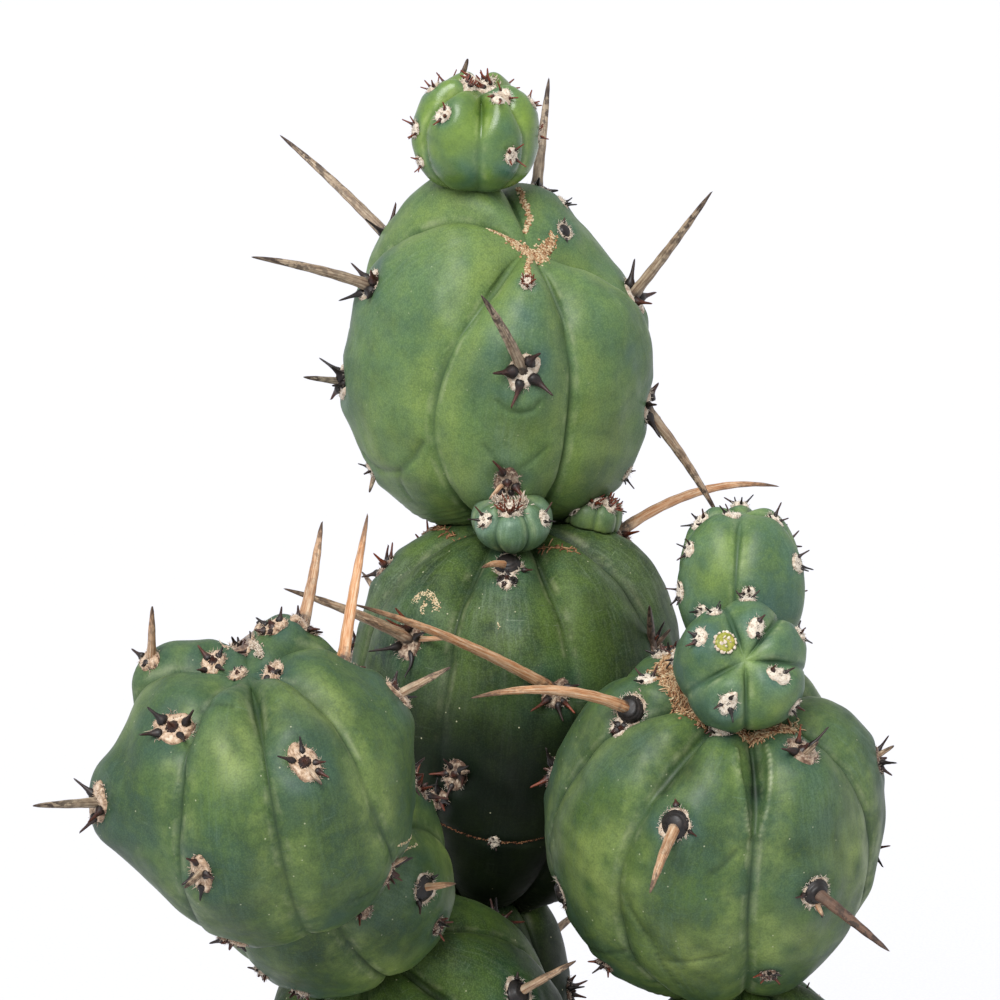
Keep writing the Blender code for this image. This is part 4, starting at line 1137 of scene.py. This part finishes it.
# Dry lignified spine wood: fibrous and dull along its length, weathered from orange-tan to
# grey, with a black horny foot and a dark point. The fibres are drawn 0.5 mm wide.
spine_wood = new_material("spine_wood_weathered")
along, tone = (add_node(spine_wood, "Attribute", attribute_name=label)["Fac"]
               for label in ("along", "tone"))
grain = add_node(spine_wood, "Attribute", attribute_name="grain")["Vector"]
fibre_scale = add_node(spine_wood, "Mapping", grain, Scale=(2.0, 2.0, 0.12))[0]
fibre = add_node(spine_wood, "TexNoise", fibre_scale, Scale=1.0, Detail=5.0, Roughness=0.7)["Fac"]
mottle_scale = add_node(spine_wood, "Mapping", grain, Scale=(0.5, 0.5, 0.45))[0]
mottle = add_node(spine_wood, "TexNoise", mottle_scale, Scale=1.0, Detail=4.0, Roughness=0.6)["Fac"]
grey = add_node(spine_wood, "ValToRGB", fibre,
                stops=((0.32, "#40372e"), (0.46, "#786c5b"), (0.64, "#aa9d88")))["Color"]
orange = add_node(spine_wood, "ValToRGB", fibre,
                  stops=((0.3, "#874a24"), (0.44, "#b17a4d"), (0.62, "#ccae8e")))["Color"]
wood = add_node(spine_wood, "Mix", tone, A_Color=grey, B_Color=orange)[2]
brown = add_node(spine_wood, "MapRange", tone, From_Min=0.0, From_Max=-0.6, To_Max=0.8)[0]
stain = add_node(spine_wood, "MapRange", mottle, From_Min=0.46, From_Max=0.56, To_Max=0.95)[0]
greyness = add_node(spine_wood, "Math", 1.15, tone, operation="SUBTRACT")[0]
higher = add_node(spine_wood, "MapRange", along, From_Min=0.2, From_Max=0.75, To_Min=0.25)[0]
for share in (greyness, higher):
    stain = add_node(spine_wood, "Math", stain, share, operation="MULTIPLY")[0]
wobble = add_node(spine_wood, "MapRange", mottle, From_Min=0.3, From_Max=0.7, To_Min=-0.07, To_Max=0.07)[0]
worn = add_node(spine_wood, "Math", along, wobble, operation="ADD")[0]
foot_share = add_node(spine_wood, "MapRange", worn, From_Min=0.12, From_Max=0.02, To_Max=0.9)[0]
tip_share = add_node(spine_wood, "MapRange", worn, From_Min=0.72, From_Max=0.96, To_Max=0.85)[0]
for share, colour in ((brown, "#4b2a1c"), (stain, "#332720"), (foot_share, "#1d1614"),
                      (tip_share, "#2b1a11")):
    wood = add_node(spine_wood, "Mix", share, A_Color=wood, B_Color=linear(colour))[2]
ribbing = add_node(spine_wood, "Bump", Height=fibre, Strength=0.5, Distance=0.15 * MM)[0]
add_node(spine_wood, "Principled", Base_Color=wood, Normal=ribbing, Roughness=0.62, IOR=1.5)

for name, rows in LONG_SPINES.items():
    joint = JOINTS[name]
    heap = Heap()
    chance = np.random.default_rng(len(name) * 7 + len(rows))
    for azimuth, latitude, length, lean_angle, turn, arch, orange_share in rows:
        foot, normal, to_tip, to_right = joint.tangent_frame(azimuth, latitude)
        girth = SPINE_ROOT_RADIUS * (0.4 + 0.6 * min(1.0, length / SPINE_FULL_GIRTH_LENGTH))
        clear = CUSHION_HEIGHT + stands_proud(joint, azimuth, latitude, CUSHION_RADIUS * 1.3)
        tilt = math.radians(lean_angle)
        way, sideways = leaning(normal, to_tip, to_right, tilt, turn)
        arch_way = np.array([0, 0, 1.0]) - way * way[2]  # upwards, across the spine
        arch_way /= max(0.1, np.linalg.norm(arch_way))
        cushion_top = foot + normal * (clear + girth * math.sin(tilt) + 0.1 * MM)
        start = onto_skin(joint, foot, normal, -0.5 * MM)
        way = cushion_top + way * length * MM - start
        thorn(heap, start, unit(way), arch_way * arch * MM, np.linalg.norm(way), girth, LONG_CUT,
              orange_share, chance, bent=chance.uniform(-0.008, 0.008))
    for azimuth, latitude, length, lean_angle, turn, orange_share in SLENDER_SPINES.get(name, ()):
        foot, normal, to_tip, to_right = joint.tangent_frame(azimuth, latitude)
        tilt = math.radians(lean_angle)
        way, sideways = leaning(normal, to_tip, to_right, tilt, turn)
        start = onto_skin(joint, foot, normal) + sideways * 1.2 * MM
        thorn(heap, start, way, STRAIGHT, length * MM, SLENDER_RADIUS, SLENDER_CUT, orange_share,
              chance, bent=chance.uniform(-0.02, 0.02))
    nodes = [f"{name}_spine_{i + 1}" for i in range(len(rows))]
    heap.make(name + "_long_spines", spine_wood, "spine", nodes)

# The short spines. Each row: how many, shortest and longest in millimetres, foot radius in
# millimetres, least and most lean from the normal, how far out on the pad they stand, and half
# the length of the pad in millimetres that these sizes are for
SHORT_SPINES = {
    "net": (4, 5.0, 9.5, 1.95, 42, 74, 0.5, 5.0),
    "felt": (4, 2.6, 6.0, 1.35, 35, 68, 0.54, 5.0),
    "knobs": (4, 2.2, 3.6, 1.9, 10, 45, 0.54, 5.0),
    "rough": (5, 4.0, 9.0, 1.35, 25, 72, 0.54, 5.0),
    "socket": (2, 2.0, 5.0, 1.0, 50, 75, 0.95, 5.0),
    "slim": (3, 2.4, 4.4, 0.95, 15, 55, 0.54, 3.4),
    "young": (4, 2.4, 4.6, 0.62, 22, 62, 0.54, 2.6),
    "tuft": (15, 2.2, 4.2, 0.85, 4, 48, 0.5, 3.0),
}
KNOBBED = ("net", "felt", "rough", "knobs")  # with a blunt knob, where there is no long spine
HORN_PROFILE = ((0.0, 0.75), (0.1, 1.0), (0.22, 0.86), (0.36, 0.46), (0.55, 0.24), (0.85, 0.12), (1.0, 0.0))
SHORT_CUT = (HORN_PROFILE, 10, 14, 0.06)
KNOB_CUT = (HORN_PROFILE, 10, 10, 0.06)
SOCKET_CUT = (((0, 1), (0.3, 1.0), (0.45, 0.95), (0.5, 0.88), (0.65, 0.8), (0.7, 0.72), (0.9, 0.6),
               (1, 0.4)), 24, 16, 0.03)  # the swollen black foot that fills a socket pad

# Living spine horn: hard, dense and nearly black, with a red-brown glow where it thins, so
# it has a clear small gloss like polished horn.
horn = new_material("spine_horn_black")
along, tone = (add_node(horn, "Attribute", attribute_name=label)["Fac"]
               for label in ("along", "tone"))
grain = add_node(horn, "Attribute", attribute_name="grain")["Vector"]
speckle = add_node(horn, "TexNoise", grain, Scale=1.3, Detail=4.0)["Fac"]
black = add_node(horn, "ValToRGB", speckle, stops=((0.3, "#0c0a0a"), (0.6, "#1c1614"),
                                                   (0.8, "#362a24")))["Color"]
red = add_node(horn, "ValToRGB", speckle, stops=((0.3, "#4d1d10"), (0.55, "#7a351b"),
                                                 (0.75, "#985232")))["Color"]
glow = add_node(horn, "MapRange", along, From_Min=0.15, From_Max=0.6)[0]
glow = add_node(horn, "Math", glow, tone, operation="MULTIPLY")[0]
colour = add_node(horn, "Mix", glow, A_Color=black, B_Color=red)[2]
scuff = add_node(horn, "MapRange", speckle, From_Min=0.3, From_Max=0.7, To_Min=0.36, To_Max=0.6)[0]
pitted = add_node(horn, "Bump", Height=speckle, Strength=0.3, Distance=0.1 * MM)[0]
add_node(horn, "Principled", Base_Color=colour, Roughness=scuff, Normal=pitted, IOR=1.54,
         Specular_IOR_Level=0.35)

for name, rows in AREOLES.items():
    joint = JOINTS[name]
    heap = Heap()
    chance = np.random.default_rng(len(name) * 31 + len(rows))
    long_feet = [joint.point(row[0], row[1]) for row in LONG_SPINES.get(name, ())]
    for areole in rows:
        half_length, kind = areole[2], areole[4]
        count, shortest, longest, girth, least, most, ring, usual_size = SHORT_SPINES[kind]
        scale = half_length / usual_size
        width_share, thickness = PAD_KINDS[kind][:2]
        foot, normal, length_way, width_way = areole_place(joint, areole)
        first = chance.uniform(0, math.tau)
        to_long_spine = min([np.linalg.norm(foot - spot) for spot in long_feet] or [1])
        if kind in KNOBBED and to_long_spine > 4 * MM:
            thorn(heap, foot + normal * 0.3 * MM, normal, STRAIGHT, 3.4 * MM * scale,
                  1.95 * MM * scale ** 0.5, KNOB_CUT, 0.2, chance)
        if kind == "socket":
            thorn(heap, foot - normal * 0.4 * MM, normal, STRAIGHT, 0.64 * half_length * MM,
                  0.84 * half_length * MM, SOCKET_CUT, 0.0, chance)
        for i in range(count):
            if chance.uniform() < 0.12 and count > 2:
                continue
            angle = first + math.tau * (i + chance.uniform(-0.35, 0.35)) / count
            out = length_way * math.cos(angle) + width_way * math.sin(angle) * width_share
            place = foot + out * (half_length * MM * chance.uniform(0.85, 1.2) * ring)
            place = onto_skin(joint, place, normal, 0.35 * thickness * MM)
            tilt = math.radians(chance.uniform(least, most))
            way = normal * math.cos(tilt) + unit(out) * math.sin(tilt)
            length = chance.uniform(shortest, longest) * MM * scale
            foot_radius = girth * MM * scale ** 0.7 * chance.uniform(0.65, 1.15)
            if kind == "tuft" or name == "crown_offset":
                redness = 0.75
            else:
                redness = chance.uniform(0, 1) ** 2 * (1.0 if kind == "rough" else 0.35)
            thorn(heap, place, unit(way), STRAIGHT, length, foot_radius, SHORT_CUT, redness, chance,
                  bent=chance.uniform(-0.08, 0.08))
    if heap.count:
        heap.make(name + "_short_spines", horn, "spine")


# ------------------------------------------------------------------------------------------
# Cork, scars and stray wool
# Where a joint was wounded, or an offset has pushed its way out, the skin heals as dry
# crusted cork. At the growing tips the wool of the youngest areoles runs together.

# Each row: kind, half width in millimetres, crumbs or hairs for each millimetre, its places
SCARS = {
    "stem_top": (("crust", 1.7, 18, (-91, 74), (-84, 82), (-32, 88), (115, 83), (142, 74)),
        ("crust", 2.8, 30, (-32, 88), (20, 86), (115, 83)), ("crust", 2.2, 20, (-84, 82), (-60, 86)),
        ("crust", 0.9, 9, (-165, 82), (-177, 76), (-171, 67), (-170, 58)),
        ("crust", 0.7, 12, (8, 84), (-2, 76), (-1, 65)), ("wool", 1.4, 60, (-2, 66), (-1, 62))),
    "stem_body": (("twigs", 1.3, 3, (-130, 60), (-90, 72), (-70, 76)),
        ("twigs", 0.9, 3, (28, 73), (39, 70), (48, 65)),
        ("scab", 1.3, 16, (-47, 41), (-47, 44), (-44, 46), (-40, 46), (-37, 44), (-36, 41)),
        ("scab", 0.9, 10, (-41, 38), (-42, 43)), ("scab", 0.4, 6, (-7, 39), (-6, 37)),
        ("rust", 0.4, 6, (-30, -23), (-12, -26), (-3, -26), (7, -26), (18, -24))),
    "right_branch_upper": (("fibre", 3.0, 44, (-140, 52), (-120, 62), (-98, 70), (-75, 73), (-50, 76)),
        ("crust", 2.8, 26, (-140, 52), (-120, 62), (-98, 70), (-75, 73), (-50, 76)),
        ("fibre", 1.5, 30, (-12, 77), (36, 75), (73, 72)),
        ("crust", 1.4, 18, (-12, 77), (36, 75), (73, 72)), ("wool", 2.2, 60, (-92, 55), (-84, 51)),
        ("wool", 1.2, 50, (-27, 74), (-21, 73))),
    "left_branch_tip": (("wool", 1.1, 30, (-173, 68), (170, 74), (150, 80)),
        ("scab", 0.4, 3, (60, -6), (72, -18))),
    "left_branch_middle": (("scab", 0.35, 4, (72, 46), (80, 38), (84, 28)),
        ("scab", 0.4, 3, (60, 50), (70, 44))),
    "crown_offset": (("wool", 1.6, 40, (-142, 76), (166, 80), (150, 70)),
        ("wool", 1.2, 40, (66, 66), (70, 62))),
    "shoulder_offset_front": (("brush", 1.8, 40, (-60, 72), (-5, 60), (50, 72)),
        ("wool", 1.2, 70, (-5, 78), (-5, 60)), ("wool", 1.2, 60, (-52, 30), (-46, 30)),
        ("wool", 1.2, 60, (56, 28), (62, 28))),
    "shoulder_offset_right": (("wool", 0.9, 20, (-18, 66), (40, 62)),),
    "right_branch_lower": (("scab", 0.5, 3, (-20, 40), (0, 44), (20, 40)),),
    "stem_base": (("scab", 0.6, 3, (-20, 40), (-12, 46), (0, 44)),
        ("scab", 0.5, 3, (150, 20), (158, 30))),
}
FIBRE_CUT = (((0, 1), (0.6, 0.8), (1, 0.2)), 5, 5, 0.05)
HAIR_CUT = (((0, 1), (0.6, 0.7), (1, 0.3)), 4, 5, 0.0)
# The darkest and palest tone of each kind's crumbs, from 0, dark, to 1, bleached
CRUMB_TONES = {"crust": (0.3, 1.0), "scab": (0.75, 1.0), "rust": (0.05, 0.45)}
crumb = [(0, 0, -1)]  # a rough bead about 2 across, which every crumb is cut from
for latitude in (-50, 0, 50):
    across, height = math.cos(math.radians(latitude)), math.sin(math.radians(latitude))
    turns = [math.tau * i / 6 + latitude for i in range(6)]
    crumb += [(across * math.cos(turn), across * math.sin(turn), height) for turn in turns]
crumb = np.array(crumb + [(0, 0, 1)])
crumb_faces = [[0, 1 + (i + 1) % 6, 1 + i] for i in range(6)]
crumb_faces += [[corner + 1 for corner in face] for face in turned_faces(3, 6).tolist()]
crumb_faces += [[13 + i, 13 + (i + 1) % 6, 19] for i in range(6)]


def along_places(joint, places, gap):
    """Spots on the plain joint about that gap apart, along a line through the places."""
    spots = []
    for (azimuth, latitude), (next_azimuth, next_latitude) in zip(places, places[1:]):
        turn = (next_azimuth - azimuth + 180) % 360 - 180
        span = np.linalg.norm(joint.point(azimuth + turn, next_latitude) - joint.point(azimuth, latitude))
        for share in np.arange(0, 1, gap / max(span, gap)):
            spots.append((azimuth + turn * share, latitude + (next_latitude - latitude) * share))
    return spots


# Dead cork and scab: brittle, cracked and quite matt. It goes from dark red-brown in its
# cracks through orange-tan to a bleached straw colour where it has dried longest.
cork = new_material("cork_dry_cracked")
where = add_node(cork, "TexCoord")["Object"]
lot = add_node(cork, "Attribute", attribute_name="shade")["Fac"]
bark = add_node(cork, "TexNoise", where, Scale=1000 / 0.8, Detail=4.0, Roughness=0.7)["Fac"]
bark_share = add_node(cork, "MapRange", bark, From_Min=0.3, From_Max=0.7, To_Min=-0.2, To_Max=0.2)[0]
lot = add_node(cork, "Math", lot, bark_share, operation="ADD")[0]
crust = add_node(cork, "ValToRGB", lot, stops=((0.0, "#1f110b"), (0.2, "#5a2f18"), (0.45, "#8f6846"),
                                               (0.7, "#ab8c69"), (0.95, "#bfb08f")))["Color"]
cracked = add_node(cork, "Bump", Height=bark, Strength=0.8, Distance=0.2 * MM)[0]
add_node(cork, "Principled", Base_Color=crust, Normal=cracked, Roughness=0.93, IOR=1.45)

for name, rows in SCARS.items():
    joint = JOINTS[name]
    chance = np.random.default_rng(len(name) * 13 + len(rows))
    crusts, wool = Heap(), Heap()
    for kind, half_width, density, *places in rows:
        for spot in along_places(joint, places, MM / density / (1.6 if kind == "crust" else 1)):
            foot, normal, to_tip, to_right = joint.tangent_frame(*spot)
            if not np.isfinite(normal).all():
                continue
            away = chance.normal(0, 0.5, 2).clip(-1, 1) * half_width * MM
            foot = onto_skin(joint, foot + to_tip * away[0] + to_right * away[1], normal)
            angle = chance.uniform(0, math.tau)
            out = to_tip * math.cos(angle) + to_right * math.sin(angle)
            across = np.cross(out, normal)
            if kind in CRUMB_TONES:
                size = chance.uniform(0.2, 0.5) * MM * (1.0 if kind == "crust" else 0.6)
                flat = chance.uniform(0.35, 0.8)
                shape = crumb * (chance.uniform(0.8, 1.6), chance.uniform(0.7, 1.1), flat) * size
                shape = shape + chance.normal(0, 0.1, shape.shape) * size
                tone = chance.uniform(*CRUMB_TONES[kind])
                crusts.add(foot + shape @ np.array([out, across, normal]), crumb_faces, shade=tone)
            elif kind in ("fibre", "twigs"):
                way = unit(out + normal * chance.uniform(-0.05, 0.16))
                points, faces, _, _ = thorn_shape(
                    foot - normal * 0.1 * MM, way, normal * chance.uniform(0, 0.3) * MM,
                    chance.uniform(1.0, 3.4) * MM, chance.uniform(0.13, 0.28) * MM, FIBRE_CUT, chance)
                tone = chance.uniform(0.15, 0.6) if kind == "twigs" else chance.beta(2, 1.6) * 0.8 + 0.15
                crusts.add(points, faces, shade=tone)
            else:
                way = unit(normal * chance.uniform(0.3, 1.0) + out * chance.uniform(0, 0.9))
                longer = 2.0 if kind == "brush" else 1.0
                points, faces, _, _ = thorn_shape(
                    foot - normal * 0.2 * MM, way, out * chance.uniform(-0.3, 0.3) * MM,
                    chance.uniform(0.7, 1.8) * longer * MM, 0.17 * MM, HAIR_CUT, chance,
                    bent=chance.uniform(-0.15, 0.15))
                wool.add(points, faces, shade=chance.uniform(0.0, 0.4))
    for heap, label, stuff in ((crusts, "_cork", cork), (wool, "_wool", felt)):
        if heap.count:
            heap.make(name + label, stuff, SKIN_OF.get(name, "skin"))

# The scar of a shed bud on the front right-hand offset: a green disc with beads of wool
joint = JOINTS["right_offset_front"]
chance = np.random.default_rng(91)
foot, normal, to_tip, to_right = joint.tangent_frame(-131, 68)
foot = onto_skin(joint, foot, normal)
SCAR_RADIUS = 2.9 * MM
disc_outline = ((0, -0.8 * MM), (SCAR_RADIUS * 0.9, -0.8 * MM), (SCAR_RADIUS, 0.3 * MM),
                (SCAR_RADIUS * 0.8, 0.9 * MM), (0, 1.0 * MM))
disc_points, disc_faces = turned_solid(rounded(disc_outline, 0.5 * MM, 0.3 * MM), 40)
disc_points = disc_points * (1 + 0.03 * undulation(disc_points, 3 * MM, 31))[:, None]
bud = new_material("bud_scar_young_tissue")
where = add_node(bud, "TexCoord")["Object"]
patches = add_node(bud, "TexNoise", where, Scale=1000 / 1.3, Detail=3.0)["Fac"]
green = add_node(bud, "ValToRGB", patches, stops=((0.35, "#5d6518"), (0.5, "#7f8026"),
                                                  (0.65, "#9b9442")))["Color"]
soft = add_node(bud, "Bump", Height=patches, Strength=0.4, Distance=0.15 * MM)[0]
add_node(bud, "Principled", Base_Color=green, Normal=soft, Roughness=0.45, IOR=1.45)
turn_to_skin = np.array([to_right, to_tip, normal])
disc_points = foot + disc_points @ turn_to_skin
make_piece("right_offset_front_bud_scar", disc_points, disc_faces, bud, "young_skin")
beads = Heap()
for ring, count in ((1.0, 26), (0.45, 7), (0.1, 2)):
    for i in range(count):
        angle = math.tau * (i + chance.uniform(-0.6, 0.6)) / count
        spot = np.array([math.cos(angle), math.sin(angle), 0]) * SCAR_RADIUS * ring
        spot[2] = (0.2 if ring == 1 else 0.95) * MM
        shape = crumb * chance.uniform(0.25, 0.7, 3) * MM
        beads.add(foot + (shape + spot) @ turn_to_skin, crumb_faces, shade=chance.uniform(0.0, 0.4))
beads.make("right_offset_front_bud_wool", felt, "skin")


# ------------------------------------------------------------------------------------------
# The potting soil
# A loose mix of dark composted bark with pumice grit and white perlite, filled to just under
# the rim and heaped a little against the stem.

SOIL_EDGE_HEIGHT = 201 * MM
SOIL_MOUND = 4.2 * MM
rim_share = (SOIL_EDGE_HEIGHT - BAND_FOOT) / (POT_HEIGHT - 4 * MM - BAND_FOOT)
neck_inside = wall_radius(BAND_FOOT) - POT_WALL - 0.4 * MM
SOIL_RADIUS = neck_inside + (POT_RIM_RADIUS - POT_WALL - 3.4 * MM - neck_inside) * rim_share


def soil_top(reach):
    """How high the soil lies at that distance from the pot's middle."""
    return SOIL_EDGE_HEIGHT + SOIL_MOUND * (1 - smooth_step(reach / SOIL_RADIUS))


foot_inside = wall_radius(POT_FLOOR) - POT_WALL
soil_outline = [(0, POT_FLOOR + 0.4 * MM), (foot_inside - 4.4 * MM, POT_FLOOR + 0.4 * MM),
                (foot_inside - 0.4 * MM, POT_FLOOR + 4.4 * MM), (neck_inside, BAND_FOOT - 0.4 * MM)]
soil_outline += [(reach, soil_top(reach)) for reach in np.linspace(SOIL_RADIUS, 1.2 * MM, 80)]
soil_outline += [(0, soil_top(0))]
soil_points, soil_faces = turned_solid(np.array(soil_outline), 240)
reach = np.hypot(soil_points[:, 0], soil_points[:, 1])
on_top = (soil_points[:, 2] > SOIL_EDGE_HEIGHT - 0.1 * MM) & (reach < SOIL_RADIUS - 1 * MM)
rough = 0.55 * undulation(soil_points, 9 * MM, 21) + 0.45 * undulation(soil_points, 4 * MM, 22)
soil_points[:, 2] += np.where(on_top, rough * 0.7 * MM, 0)
base = JOINTS["stem_base"]
for index in np.flatnonzero(on_top & (reach < 56 * MM)):
    x, y, z = soil_points[index]
    hit = base.tree.ray_cast(Vector((x, y, 0.15)), Vector((0, 0, 1)), 0.3)
    if hit[0] is not None:
        soil_points[index, 2] = min(z, hit[0].z - SEAT_GAP)

# Composted bark and peat: nearly black when damp, matt, and crumbly at every size.
compost = new_material("potting_compost_crumbly")
where = add_node(compost, "TexCoord")["Object"]
lumps = add_node(compost, "TexNoise", where, Scale=1000 / 2.5, Detail=8.0, Roughness=0.7)["Fac"]
earth = add_node(compost, "ValToRGB", lumps, stops=((0.3, "#18100b"), (0.5, "#302217"),
                                                    (0.72, "#503d2b")))["Color"]
clods = add_node(compost, "Bump", Height=lumps, Strength=0.9, Distance=0.8 * MM)[0]
add_node(compost, "Principled", Base_Color=earth, Normal=clods, Roughness=0.97, IOR=1.4)
make_piece("soil_compost", soil_points, soil_faces, compost, "soil", ["soil"])

# Broken grit and bark: each crumb has one tone of its own, from a painted value.
crumb_stuff = new_material("grit_and_bark_broken")
where = add_node(crumb_stuff, "TexCoord")["Object"]
lot = add_node(crumb_stuff, "Attribute", attribute_name="shade")["Fac"]
own = add_node(crumb_stuff, "ValToRGB", lot, stops=((0.0, "#231810"), (0.35, "#443120"), (0.55, "#6a553e"),
                                                    (0.72, "#877e73"), (0.86, "#a29b8f"),
                                                    (0.95, "#ccc9c1")))["Color"]
fleck = add_node(crumb_stuff, "TexNoise", where, Scale=1000 / 0.9, Detail=4.0)["Fac"]
shadow = add_node(crumb_stuff, "MapRange", fleck, From_Min=0.5, From_Max=0.75, To_Max=0.5)[0]
own = add_node(crumb_stuff, "Mix", shadow, A_Color=own, B_Color=linear("#241b14"))[2]
facets = add_node(crumb_stuff, "Bump", Height=fleck, Strength=0.6, Distance=0.2 * MM)[0]
add_node(crumb_stuff, "Principled", Base_Color=own, Normal=facets, Roughness=0.9, IOR=1.5)

heap = Heap()
chance = np.random.default_rng(77)
for _ in range(2600):
    reach = SOIL_RADIUS * math.sqrt(chance.uniform(0.12, 0.96))
    angle = chance.uniform(0, math.tau)
    x, y = reach * math.sin(angle), -reach * math.cos(angle)
    place = np.array([x, y, soil_top(reach)])
    size = chance.uniform(0.7, 2.3) * MM * (1 + (chance.uniform() < 0.08))
    if base.tree.find_nearest(Vector(place))[3] < size * 1.5 or reach > SOIL_RADIUS - size * 1.6:
        continue
    shape = crumb * chance.uniform(0.6, 1.25, 3) * size + chance.normal(0, 0.16, crumb.shape) * size
    spin = np.array(Quaternion(chance.normal(size=4)).normalized().to_matrix())
    heap.add(shape @ spin.T + place + [0, 0, size * 0.25], crumb_faces, shade=chance.uniform(0, 1) ** 1.15)
crumbs = heap.make("soil_grit_and_bark", crumb_stuff, "soil")
crumbs.data.shade_flat()


# ------------------------------------------------------------------------------------------
# The studio
# A pale floor that runs on out of sight, lit from all round and by one large soft light
# overhead and a little in front, so that shadows stay faint.

FLOOR_REACH = 30.0
FLOOR_HEIGHT = -0.2 * MM
corners = [(x * FLOOR_REACH, y * FLOOR_REACH, FLOOR_HEIGHT)
           for x, y in ((-1, -1), (1, -1), (1, 1), (-1, 1))]
floor_mesh = bpy.data.meshes.new("studio_floor")
floor_mesh.from_pydata(corners, [], [(0, 1, 2, 3)])
floor = place_object("studio_floor", floor_mesh)
paper = new_material("backdrop_paper_matt")
where = add_node(paper, "TexCoord")["Object"]
tooth = add_node(paper, "TexNoise", where, Scale=800.0, Detail=2.0)["Fac"]
tint = add_node(paper, "ValToRGB", tooth, stops=((0.3, "#c4c4c8"), (0.7, "#c8c8cc")))["Color"]
add_node(paper, "Principled", Base_Color=tint, Roughness=0.95)
floor_mesh.materials.append(paper)
floor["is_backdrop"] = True

world = bpy.data.worlds.new("studio_light_all_round")
world.use_nodes = True
sky = world.node_tree.nodes["Background"].inputs
sky["Color"].default_value = linear("#fbfcff")
sky["Strength"].default_value = 0.85
bpy.context.scene.world = world
sun_data = bpy.data.lights.new("overhead_softbox", "SUN")
sun_data.energy = 3.9
sun_data.angle = math.radians(38)
sun = place_object("overhead_softbox", sun_data)
sun.rotation_euler = (math.radians(38), math.radians(-16), 0)

CAMERA_ELEVATION = math.radians(18)
CAMERA_DISTANCE = 1.3
CAMERA_TARGET = Vector((-9.0, 65.7, 478.0)) * MM
camera_data = bpy.data.cameras.new("camera")
camera_data.lens = 156
camera_data.sensor_width = 36
camera = place_object("camera", camera_data)
backwards = Vector((0, -math.cos(CAMERA_ELEVATION), math.sin(CAMERA_ELEVATION)))
camera.location = CAMERA_TARGET + CAMERA_DISTANCE * backwards
camera.rotation_euler = (math.pi / 2 - CAMERA_ELEVATION, 0, 0)
bpy.context.scene.camera = camera
bpy.context.scene.view_settings.view_transform = "Standard"

low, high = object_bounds()
